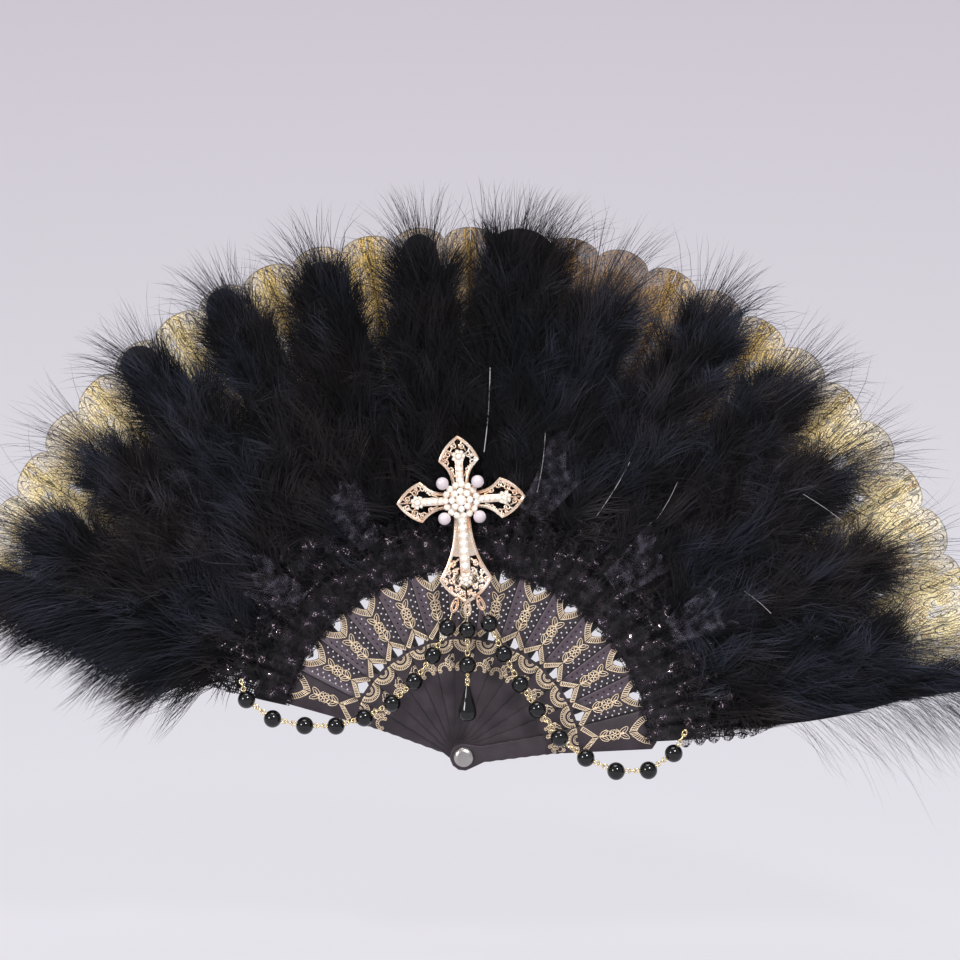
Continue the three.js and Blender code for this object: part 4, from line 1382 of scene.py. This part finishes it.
def lace_edging():
    """The scalloped edge of the lace where it hangs below the front guard."""
    columns, rows = 61, 9
    inner, scalloped, over = 97, 129, 2.2
    points, uvs = [], []
    for i in range(columns):
        out = inner + 44 * i / (columns - 1)
        if out < scalloped:
            hang = 6.6 + 3.6 * math.sqrt(abs(math.sin((out - inner) * math.pi / 6.4)))
        else:
            hang = 10.2 - 3.4 * (out - scalloped) / 12
        for row in range(rows):
            below = -over + (hang + over) * row / (rows - 1)
            angle = FIRST_ANGLE - below / out
            wave = 0.5 * math.sin(out * 0.9) + 0.3 * math.sin(out * 2.1 + row * 0.4)
            y = GUARD_FRONT - 1.3 - 0.6 * row / (rows - 1) - wave
            points.append((out * math.cos(angle), y, out * math.sin(angle)))
            uvs.append((out / EDGING_UNIT, 1.1 + below / EDGING_UNIT))
    piece = cloth("lace_edging", points, columns, rows, uvs, LACE)
    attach(piece, "guard_front")


# Stiff net that stands up from the lace here and there: its middle on the drawing, its turn, width and height
NET_PIECES = [(552, 482, 0.5, 22, 32), (640, 562, 0.35, 23, 30), (700, 615, 0.2, 22, 28),
              (272, 585, -0.35, 22, 28), (352, 514, -0.3, 20, 30)]


def net_piece(number, px, py, turn, width, height):
    """One piece of net: narrower at its foot, waved, and uneven along its top."""
    x, z = drawn_at(px, py)
    angle = math.atan2(z, x)
    columns, rows = 25, 17
    lean = angle - math.pi / 2 - turn * 0.6
    points, uvs = [], []
    for i in range(columns):
        across = i / (columns - 1) * 2 - 1
        top = 1.0 - 0.1 * math.sin(2.3 * across + number) - 0.06 * math.sin(9 * across + 2 * number) - 0.1
        for row in range(rows):
            share = row / (rows - 1) * top
            half = width / 2 * (0.55 + 0.45 * share)
            side = across * half + 0.8 * math.sin(4 * share + number)
            rise = (share - 0.55) * height
            dx = side * math.cos(lean) - rise * math.sin(lean)
            dz = side * math.sin(lean) + rise * math.cos(lean)
            radius, at = math.hypot(x + dx, z + dz), math.atan2(z + dz, x + dx)
            wave = 0.9 * math.sin(across * 7 + number) * (0.3 + share)
            wave += 0.5 * math.sin(across * 15 + 2 * share)
            y = float(lace_back(min(radius, 122.0), at)) - 5.4 - 2.6 * share - wave
            points.append((x + dx, y, z + dz))
            uvs.append((side / UV_UNIT + 0.3 * number, rise / UV_UNIT + 0.2))
    piece = cloth(f"net_piece_{number}", points, columns, rows, uvs, STIFF_NET)
    blend_between(piece)


# Bare pale quills that show among the plumes: from and to on the drawing, and half their thickness
QUILLS = [((484, 452), (490, 368), 0.2), ((537, 492), (545, 432), 0.16), ((596, 516), (629, 462), 0.18),
          ((655, 520), (676, 482), 0.13), ((742, 590), (768, 612), 0.13), ((838, 520), (800, 494), 0.12)]


def dressed_quills():
    """The bare quills, each a slightly bent shaft before the plumes."""
    for number, (low, high, half) in enumerate(QUILLS):
        line = []
        for i in range(9):
            t = i / 8
            px = low[0] + (high[0] - low[0]) * t + 1.5 * math.sin(math.pi * t)
            x, z = drawn_at(px, low[1] + (high[1] - low[1]) * t)
            line.append((x, float(plume_back(math.hypot(x, z), math.atan2(z, x))) - 8.5 - 1.2 * t, z))
        quill = clothed(wire_shape(f"quill_{number}", [line], half, 1.0, 1), QUILL)
        blend_between(quill)


# Cross ornament: rim and filigree on the cast frame, cut stones in claws and four pearls
CROSS_CENTRE = (-1.1, 115.9)
CROSS_TILT = math.radians(3.5)
CROSS_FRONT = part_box("cross_frame")[0][1] / MM
ARM = 29.0
FOOT = 46.4
PEARL_RADIUS = 2.85
PEARL_SPOTS = ((7.9, 7.9), (-7.9, 7.9), (-7.9, -7.9), (7.9, -7.9))


def on_cross(y=0.0):
    """Takes a shape drawn about the middle of the upright cross to its place."""
    return (Matrix.Translation((CROSS_CENTRE[0] * MM, y * MM, CROSS_CENTRE[1] * MM))
            @ Matrix.Rotation(-CROSS_TILT, 4, "Y"))


def on_face(x, z, forward):
    """Takes a shape to a spot of the upright cross, this far in front of its face."""
    return on_cross() @ Matrix.Translation((x * MM, (CROSS_FRONT - forward) * MM, z * MM))


def bow(start, pull, end, steps=7):
    """A curve from start to end, drawn towards pull."""
    return [tuple(a * (1 - t) ** 2 + 2 * b * t * (1 - t) + c * t * t for a, b, c in zip(start, pull, end))
            for t in (i / steps for i in range(steps + 1))]


def arm_side(foot):
    """One side of an arm from its neck to its tip: hollow up to the flare and full beyond it."""
    if foot:
        return bow((3.0, 9.0), (3.4, 24.0), (11.2, 35.2)) + bow((11.2, 35.2), (8.4, 41.6), (0.0, 45.7))[1:]
    return bow((3.0, 7.0), (3.1, 13.8), (8.5, 18.0)) + bow((8.5, 18.0), (6.2, 24.2), (0.0, 28.3))[1:]


def quarter_turned(points, quarter):
    """Points of the upper arm, turned to another arm."""
    cos, sin = (1, 0, -1, 0)[quarter], (0, 1, 0, -1)[quarter]
    return [(x * cos - z * sin, x * sin + z * cos) for x, z in points]


def cross_rim():
    """The wire that runs round the four arms, crossing behind the middle."""
    lines = []
    for quarter in range(4):
        side = [(2.6, 4.0)] + arm_side(quarter == 2)
        lines.append(quarter_turned(side + [(-x, z) for x, z in reversed(side[:-1])], quarter))
    return wire_shape("cross_rim", lines, 0.8, 1.0, 1)


# The scrolls on one side of an arm and of the foot, as x, z and radius, and the links between them
ARM_SCROLLS = [(3.8, 13.8, 1.3), (6.0, 16.9, 1.7), (4.5, 20.7, 1.6), (1.8, 24.1, 1.35), (6.5, 20.0, 0.8)]
ARM_LINKS = [[(2.2, 10.6), (3.0, 12.9)], [(4.8, 14.2), (5.4, 15.6)], [(7.0, 18.2), (7.5, 19.2)],
             [(5.4, 18.3), (4.9, 19.3)], [(3.2, 21.0), (2.3, 20.6)], [(4.6, 21.9), (5.0, 22.8)],
             [(2.6, 23.6), (3.4, 22.0)], [(1.4, 25.3), (1.9, 26.4)], [(0, 22.0), (0, 27.4)]]
FOOT_SCROLLS = [(5.1, 28.6, 1.3), (4.3, 32.2, 1.4), (7.6, 32.2, 1.3), (9.4, 35.6, 1.1), (6.4, 36.0, 1.5),
                (4.0, 39.2, 1.4), (6.8, 39.4, 1.0), (1.5, 41.6, 1.2), (3.2, 42.4, 0.9)]
FOOT_LINKS = [[(2.6, 26.4), (4.0, 27.4), (5.4, 27.3)], [(2.6, 30.6), (4.2, 30.8)], [(6.2, 28.4), (7.4, 30.9)],
              [(8.6, 32.6), (9.9, 34.4)], [(7.6, 33.5), (6.9, 34.6)], [(4.9, 33.5), (5.6, 34.8)],
              [(7.9, 36.4), (9.0, 37.6)], [(5.4, 37.3), (4.8, 38.0)], [(2.9, 38.4), (2.4, 36.9)],
              [(2.6, 40.3), (2.0, 40.5)], [(0, 38.6), (0, 44.6)]]


def cross_filigree():
    """Open scrolls in each flared arm, linked to one another and to the rim, and the pearls' two arms."""
    parts = []
    for quarter in range(4):
        scrolls, links, half = ARM_SCROLLS, ARM_LINKS, 0.36
        if quarter == 2:
            scrolls, links, half = FOOT_SCROLLS, FOOT_LINKS, 0.48
        lines = []
        for hand in (1, -1):
            shapes = []
            for i, (x, z, radius) in enumerate(scrolls):
                wound = 1.35 * hand * (1 if i % 2 else -1)
                shapes.append(curl(x * hand, z, radius, math.radians(90 + 130 * i) * hand, wound))
            shapes += [[(x * hand, z) for x, z in link] for link in links]
            lines += [quarter_turned(shape, quarter) for shape in shapes]
        parts.append(wire_shape("cross_filigree", lines, half, 1.0, 1))
    arms = [[(-x, -z), (x, z)] for x, z in PEARL_SPOTS[:2]]
    return merged("cross_filigree", parts + [wire_shape("pearl_arms", arms, 0.48, 1.0, 1)])


def flat_shape(name, outline, front, thickness):
    """A flat piece of one outline in x and z, with its front and thickness in millimetres."""
    count = len(outline)
    points = [(x, y, z) for y in (front, front + thickness) for x, z in outline]
    faces = [list(range(count)), [count + i for i in reversed(range(count))]]
    faces += [((i + 1) % count, i, count + i, count + (i + 1) % count) for i in range(count)]
    return faced_out(woven(name, points, faces))


def cross_bars():
    """The bars under the rows of stones, and the closed sides of the foot above its filigree."""
    parts = []
    for quarter in range(4):
        reach, half = (36.0, 2.3) if quarter == 2 else (19.4, 1.8)
        bar = quarter_turned([(-half, 0), (half, 0), (half, reach), (-half, reach)], quarter)
        parts.append(softened(flat_shape("bar", bar, 0.0, 1.2), 0.2, 2))
    side = [(x * 0.97, z) for x, z in arm_side(True) if z < 27.5]
    for hand in (1, -1):
        plate = quarter_turned([(hand * x, z) for x, z in [(1.2, 7.0)] + side + [(1.2, 25.6)]], 2)
        parts.append(flat_shape("foot_side", plate, 0.5, 0.8))
    return parts


def cut_stone(radius):
    """One cut stone, its flat table to the front, with a girdle."""
    bpy.ops.object.select_all(action="DESELECT")
    bpy.ops.mesh.primitive_cone_add(vertices=8, radius1=1, radius2=0.56, depth=0.42,
                                    rotation=(math.pi / 2, 0, 0))
    stone = bpy.context.object
    stone.scale = (radius * MM, radius * MM, radius * MM)
    settle(stone)
    back = max(v.co.y for v in stone.data.vertices)
    bpy.ops.object.mode_set(mode="EDIT")
    bpy.ops.mesh.select_all(action="DESELECT")
    bpy.ops.object.mode_set(mode="OBJECT")
    for face in stone.data.polygons:
        face.select = all(abs(stone.data.vertices[v].co.y - back) < 1e-6 for v in face.vertices)
    bpy.ops.object.mode_set(mode="EDIT")
    bpy.ops.mesh.select_mode(type="FACE")
    bpy.ops.mesh.extrude_region_move(TRANSFORM_OT_translate={"value": (0, 0.22 * radius * MM, 0)})
    bpy.ops.mesh.extrude_region_move(TRANSFORM_OT_translate={"value": (0, 0.3 * radius * MM, 0)})
    bpy.ops.transform.resize(value=(0.5, 1, 0.5))
    bpy.ops.object.mode_set(mode="OBJECT")
    return faced_out(stone)


def claws(radius, count):
    """Small round claws about a stone, drawn at the origin."""
    claw = ball(0.26, 6, 4)
    copies = []
    for i in range(count):
        turn = 2 * math.pi * (i + 0.5) / count
        place = (radius * math.cos(turn) * MM, -0.25 * MM, radius * math.sin(turn) * MM)
        copies.append(twin(claw, f"claw_{i}", Matrix.Translation(place)))
    thrown_away(claw)
    return merged("claws", copies)


def cup(radius, depth):
    """A shallow metal cup under a stone: a short ring with a softened rim."""
    bpy.ops.object.select_all(action="DESELECT")
    bpy.ops.mesh.primitive_cylinder_add(vertices=20, radius=radius * MM, depth=depth * MM,
                                        rotation=(math.pi / 2, 0, 0))
    return softened(settle(bpy.context.object), 0.2, 2)


def stone_places():
    """Each stone: its place from the middle of the cross, its radius and how far forward it stands."""
    places = [(0, 0, 2.5, 3.1)]
    for i in range(8):
        turn = 2 * math.pi * i / 8
        places.append((4.0 * math.cos(turn), 4.0 * math.sin(turn), 1.6, 2.6))
    for i in range(15):
        turn = 2 * math.pi * (i + 0.5) / 15
        places.append((7.0 * math.cos(turn), 7.0 * math.sin(turn), 1.55, 1.7))
    for quarter in range(4):
        count, step, radius = (7, 3.4, 2.1) if quarter == 2 else (4, 2.5, 1.55)
        for i in range(count):
            (x, z), = quarter_turned([(0, 9.1 + step * i)], quarter)
            places.append((x, z, radius, 1.2))
        (x, z), = quarter_turned([(0, 35.6 if quarter == 2 else 19.6)], quarter)
        places.append((x, z, 1.35, 1.9))
        for i in range(7):
            turn = 2 * math.pi * i / 7 + quarter
            places.append((x + 2.15 * math.cos(turn), z + 2.15 * math.sin(turn), 0.98, 1.3))
    return places


def dressed_cross():
    """The cast frame with its bars and middle cup, the stones in their cups and claws, and the pearls."""
    cast = []
    for deep, parts in ((0.8, [cross_rim(), cross_filigree()]), (0.1, cross_bars()), (0.8, [cup(7.3, 1.4)])):
        for part in parts:
            part.data.transform(on_cross(CROSS_FRONT + deep))
            cast.append(part)
    metal, gems = [], []
    for number, (x, z, radius, forward) in enumerate(stone_places()):
        stone = cut_stone(radius)
        stone.data.transform(on_face(x, z, forward) @ Matrix.Rotation(0.4 * number, 4, "Y"))
        gems.append(stone)
        if forward > 1.5:
            seat = cup(radius * 0.9, forward)
            seat.data.transform(on_face(x, z, forward / 2 - 0.4))
            metal.append(seat)
        ring = claws(radius, 6 if radius > 2 else 4)
        ring.data.transform(on_face(x, z, forward) @ Matrix.Rotation(0.4, 4, "Y"))
        metal.append(ring)
    for x, z in PEARL_SPOTS:
        pearl = ball(PEARL_RADIUS, 28, 16)
        pearl.data.transform(on_face(x, z, 2.9))
        clothed(smooth(pearl, 80), PEARL)
        pearl.name = f"pearl_{'right' if x > 0 else 'left'}_{'top' if z > 0 else 'foot'}"
        pearl.data.name = pearl.name
        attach(pearl, "rib_07")
        seat = cup(1.9, 1.4)
        seat.data.transform(on_face(x, z, 0.5))
        metal.append(seat)
    frame_cast = smooth(clothed(merged("cross_cast", cast), ROSE_GOLD), 50)
    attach(frame_cast, "rib_07")
    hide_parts("cross_frame")
    settings = smooth(clothed(merged("cross_settings", metal), ROSE_GOLD), 50)
    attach(settings, "rib_07")
    stones = clothed(merged("cross_cut_stones", gems), CRYSTAL)
    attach(stones, "rib_07")
    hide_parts("cross_stones")


# Bead chains: polished beads with wire eyes between them, and the filigree drops they hang from.
# The wire of the frame's chains is 0.9 mm thick and lies 0.3 mm before the cross
CHAIN_OFF = 0.3 + 0.45
CHAIN_FRONT = CROSS_FRONT - CHAIN_OFF
DROP_LENGTH = 6.5
LEFT_BEADS = [(447.5, 627), (433, 655), (414, 681), (392, 703), (364, 718), (335.5, 726.5), (304, 726.5),
              (271.5, 720), (245, 701)]
RIGHT_BEADS = [(489, 623), (503.6, 653), (520, 683), (537, 708), (559, 736), (585, 756), (615, 769),
               (647, 768), (672, 751)]


def end_depth(px, py):
    """How much farther back the outer end of a swag lies than its hook, in front of the lace."""
    x, z = drawn_at(px, py)
    face = float(lace_back(max(LACE_OUTER, math.hypot(x, z)), math.atan2(z, x))) - 0.8 - 1.5
    return face - CHAIN_OFF - CHAIN_FRONT


def polished_bead():
    """One bead at the origin, of which the strings are made."""
    bead = ball(BEAD_RADIUS, 32, 20)
    bead.name = "bead_form"
    return clothed(smooth(bead, 80), BLACK_GLASS)


def ring_of(centre, first, second, count=14):
    """A closed ring of points about centre: first and second are its half axes."""
    turns = [2 * math.pi * i / count for i in range(count)]
    ring = [tuple(centre + first * math.cos(t) + second * math.sin(t)) for t in turns]
    return ring + ring[:1]


def eye_between(start, end):
    """The wire from one bead's hole to the next: an eye at each bead and a link through both."""
    front = Vector((0, -1, 0))
    along = (end - start).normalized()
    side = along.cross(front).normalized()
    middle = (start + end) / 2 / MM
    gap = (end - start).length / MM - 2 * BEAD_RADIUS
    reach = max(gap / 2, 1.0)
    size = reach * 0.42
    lines = [ring_of(middle, along * reach * 0.55, front * 0.7)]
    for hand in (-1, 1):
        eye = middle + along * hand * (reach - size * 0.9)
        lines.append(ring_of(eye, along * size, side * min(size, 0.95)))
        lines.append([tuple(middle + along * hand * (reach + inset)) for inset in (0.5, -0.5)])
    return lines


def filigree_drop(hook, towards):
    """Lines of a drop-shaped openwork link that hangs from hook towards the first bead."""
    along = (towards - hook).normalized()
    side = Vector((0, -1, 0)).cross(along).normalized()
    lines = []
    for scale, squeeze in ((1.0, 1.0), (0.62, 0.5)):
        ring = []
        for i in range(19):
            t = 2 * math.pi * i / 18
            down = DROP_LENGTH / 2 * (1 - math.cos(t) * scale) + (0.35 if scale < 1 else 0)
            wide = 1.7 * squeeze * math.sin(t) * (0.75 + 0.35 * (1 - math.cos(t)) / 2)
            ring.append(tuple(hook / MM + along * down + side * wide))
        ring[-1] = ring[0]
        lines.append(ring)
    lines.append([tuple(hook / MM - along * 1.2), tuple(hook / MM + along * 0.6)])
    return lines


def strung(name, hook, spots, end, body, node):
    """A string of beads from hook to end on one body, standing for its frame node."""
    form = polished_bead()
    beads = [twin(form, f"{name}_bead_{i}", Matrix.Translation(spot)) for i, spot in enumerate(spots)]
    thrown_away(form)
    beads = merged(name + "_beads", beads)
    drop = wire_shape(name + "_filigree", filigree_drop(hook, spots[0]), 0.4, 1.0, 1)
    smooth(clothed(drop, ROSE_GOLD), 60)
    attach(drop, body)
    towards = (spots[0] - hook).normalized()
    lines = [[tuple((hook + towards * (DROP_LENGTH - 0.1) * MM) / MM),
              tuple((spots[0] - towards * (BEAD_RADIUS - 0.4) * MM) / MM)]]
    for a, b in zip(spots, spots[1:]):
        lines += eye_between(a, b)
    lines += eye_between(spots[-1], end + (end - spots[-1]).normalized() * BEAD_RADIUS * MM)
    wires = smooth(clothed(wire_shape(name + "_wires", lines, 0.3, 1.0, 2), WIRE_GOLD), 60)
    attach(beads, body)
    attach(wires, body)
    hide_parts(node)


def long_drop():
    """The long polished drop and its bail."""
    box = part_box("pendant_drop")
    top = box[1][2] / MM
    x, y = (box[0][0] + box[1][0]) / 2 / MM, (box[0][1] + box[1][1]) / 2 / MM
    profile = [(0.0, 0.0), (0.45, 0.05), (0.75, 0.5), (0.95, 1.4), (1.35, 3.2), (1.95, 5.6), (2.7, 8.2),
               (3.45, 10.6), (3.98, 12.8), (4.1, 14.4), (3.8, 16.0), (2.9, 17.2), (1.5, 17.85), (0.0, 18.0)]
    points, sides = [], 32
    for out, down in profile:
        for i in range(sides):
            t = 2 * math.pi * i / sides
            points.append((x + out * math.cos(t), y + out * math.sin(t), top - down))
    faces = []
    for a in range(len(profile) - 1):
        for i in range(sides):
            n = (i + 1) % sides
            faces.append((a * sides + i, (a + 1) * sides + i, (a + 1) * sides + n, a * sides + n))
    drop = faced_out(woven("polished_drop", points, faces), WIDE_WELD)
    clothed(smooth(drop, 80), BLACK_GLASS)
    body = body_of_node("pendant_drop")
    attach(drop, body)
    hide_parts("pendant_drop")
    right, back, up = Vector((1, 0, 0)), Vector((0, 1, 0)), Vector((0, 0, 1))
    lines = [ring_of(Vector((x, y, top + 0.1)), right * 0.9, up * 1.4),
             [(x - 0.7, y - 0.6, top - 0.6), (x, y - 1.0, top - 1.6), (x + 0.7, y - 0.6, top - 0.6)],
             ring_of(Vector((x, y, top - 1.0)), right * 0.85, back * 0.85),
             ring_of(Vector((x, y, top - 1.7)), right, back)]
    bail = smooth(clothed(wire_shape("drop_bail", lines, 0.3, 1.0, 2), WIRE_GOLD), 60)
    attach(bail, body)


def body_of_node(node):
    """The body on which a frame node rides; what no body names is on the base."""
    for body, nodes in frame["record"]["behaviour"]["bodies"].items():
        if node in nodes:
            return body
    return "guard_front"


def dressed_chains():
    """The two swags, the short chain between them and the long drop at its end."""
    swags = (("left_swag", "bead_swag_left", (457, 598), LEFT_BEADS, (239, 681)),
             ("right_swag", "bead_swag_right", (478, 596), RIGHT_BEADS, (684, 728)))
    for name, node, hook, pixels, end in swags:
        deep = end_depth(*end)
        spots = [picture(px, py, CHAIN_FRONT + deep * i / len(pixels)) for i, (px, py) in enumerate(pixels)]
        strung(name, picture(*hook, CHAIN_FRONT), spots, picture(*end, CHAIN_FRONT + deep), "rib_07", node)
    spots = [picture(467.5, 629.5, CHAIN_FRONT), picture(467.5, 664, CHAIN_FRONT)]
    strung("centre_pendant", picture(467.5, 601, CHAIN_FRONT), spots, picture(467.5, 679.5, CHAIN_FRONT),
           body_of_node("pendant_beads"), "pendant_beads")
    long_drop()


# Rivet: a low round head with a flat middle, and the burr behind
PIN_PROFILE = [(0.0, -10.65), (2.5, -10.65), (2.7, -10.62), (3.5, -10.3), (4.2, -9.85), (4.5, -9.4),
               (4.5, -9.12), (4.42, -9.05), (1.5, -9.05), (1.5, 10.6), (1.35, 10.75), (0.0, 10.75)]
BURR_PROFILE = [(1.8, 9.05), (3.4, 9.05), (3.5, 9.15), (3.5, 10.05), (3.35, 10.25), (1.95, 10.25),
                (1.8, 10.1), (1.8, 9.05)]


def dressed_rivet():
    """The rivet's two parts, each turned from its profile of radius and depth."""
    for node, profile in (("rivet_pin", PIN_PROFILE), ("rivet_burr", BURR_PROFILE)):
        points, faces, sides = [], [], 40
        for out, y in profile:
            for i in range(sides):
                t = 2 * math.pi * i / sides
                points.append((out * math.cos(t), y, out * math.sin(t)))
        for a in range(0, (len(profile) - 1) * sides, sides):
            for i in range(sides):
                n = (i + 1) % sides
                faces.append((a + i, a + n, a + sides + n, a + sides + i))
        piece = faced_out(woven(node + "_turned", points, faces), WELD)
        clothed(smooth(piece, 35), RIVET_METAL)
        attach(piece, "guard_front")
        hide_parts(node)


# Stage: pale curved backdrop, soft lamps and the camera
def stage():
    """Paper that lies under the fan and bends up behind it, three soft lamps, the world and the camera."""
    floor, bend, radius = -100, 1300, 400
    profile = [(-2600, floor), (bend, floor)]
    profile += [(bend + radius * math.sin(a), floor + radius * (1 - math.cos(a)))
                for a in np.linspace(0.1, math.pi / 2, 12)]
    profile += [(bend + radius, 2600)]
    points = [(x, y, z) for x in (-3200, 3200) for y, z in profile]
    count = len(profile)
    faces = [(i, i + 1, count + i + 1, count + i) for i in range(count - 1)]
    paper = woven("backdrop", points, faces)
    only(paper)
    bpy.ops.object.shade_smooth()
    clothed(paper, backdrop_paper())

    world = bpy.data.worlds.new("studio")
    world.use_nodes = True
    back = world.node_tree.nodes["Background"]
    back.inputs["Color"].default_value = (0.93, 0.94, 1.0, 1)
    back.inputs["Strength"].default_value = 0.5
    bpy.context.scene.world = world

    middle = Vector((0, 0, 0.12))
    for name, place, size, power in (("key_lamp", (0.35, -1.0, 0.85), 0.22, 11),
                                     ("fill_lamp", (-0.9, -0.85, 0.4), 0.3, 6),
                                     ("top_lamp", (-0.1, -0.15, 1.2), 0.6, 6)):
        lamp = bpy.data.lights.new(name, "AREA")
        lamp.size = size
        lamp.energy = power
        holder = bpy.data.objects.new(name, lamp)
        holder.location = place
        holder.rotation_euler = (middle - Vector(place)).to_track_quat("-Z", "Y").to_euler()
        bpy.context.collection.objects.link(holder)

    camera = bpy.data.cameras.new("camera")
    camera.lens = 75
    camera.sensor_width = 36
    camera.clip_start = 0.01
    camera.clip_end = 20
    eye = bpy.data.objects.new("camera", camera)
    eye.location = (0.0074, -0.91, 0.1249)
    eye.rotation_euler = (math.pi / 2, 0, 0)
    bpy.context.collection.objects.link(eye)
    bpy.context.scene.camera = eye
    bpy.context.scene.view_settings.view_transform = "Standard"


dressed_sticks()
printed_sticks()
for j in range(1, 14):
    leaf_panel(j)
dressed_plumes()
dressed_lace()
for number, piece in enumerate(NET_PIECES):
    net_piece(number, *piece)
dressed_quills()
dressed_cross()
dressed_chains()
dressed_rivet()
stage()
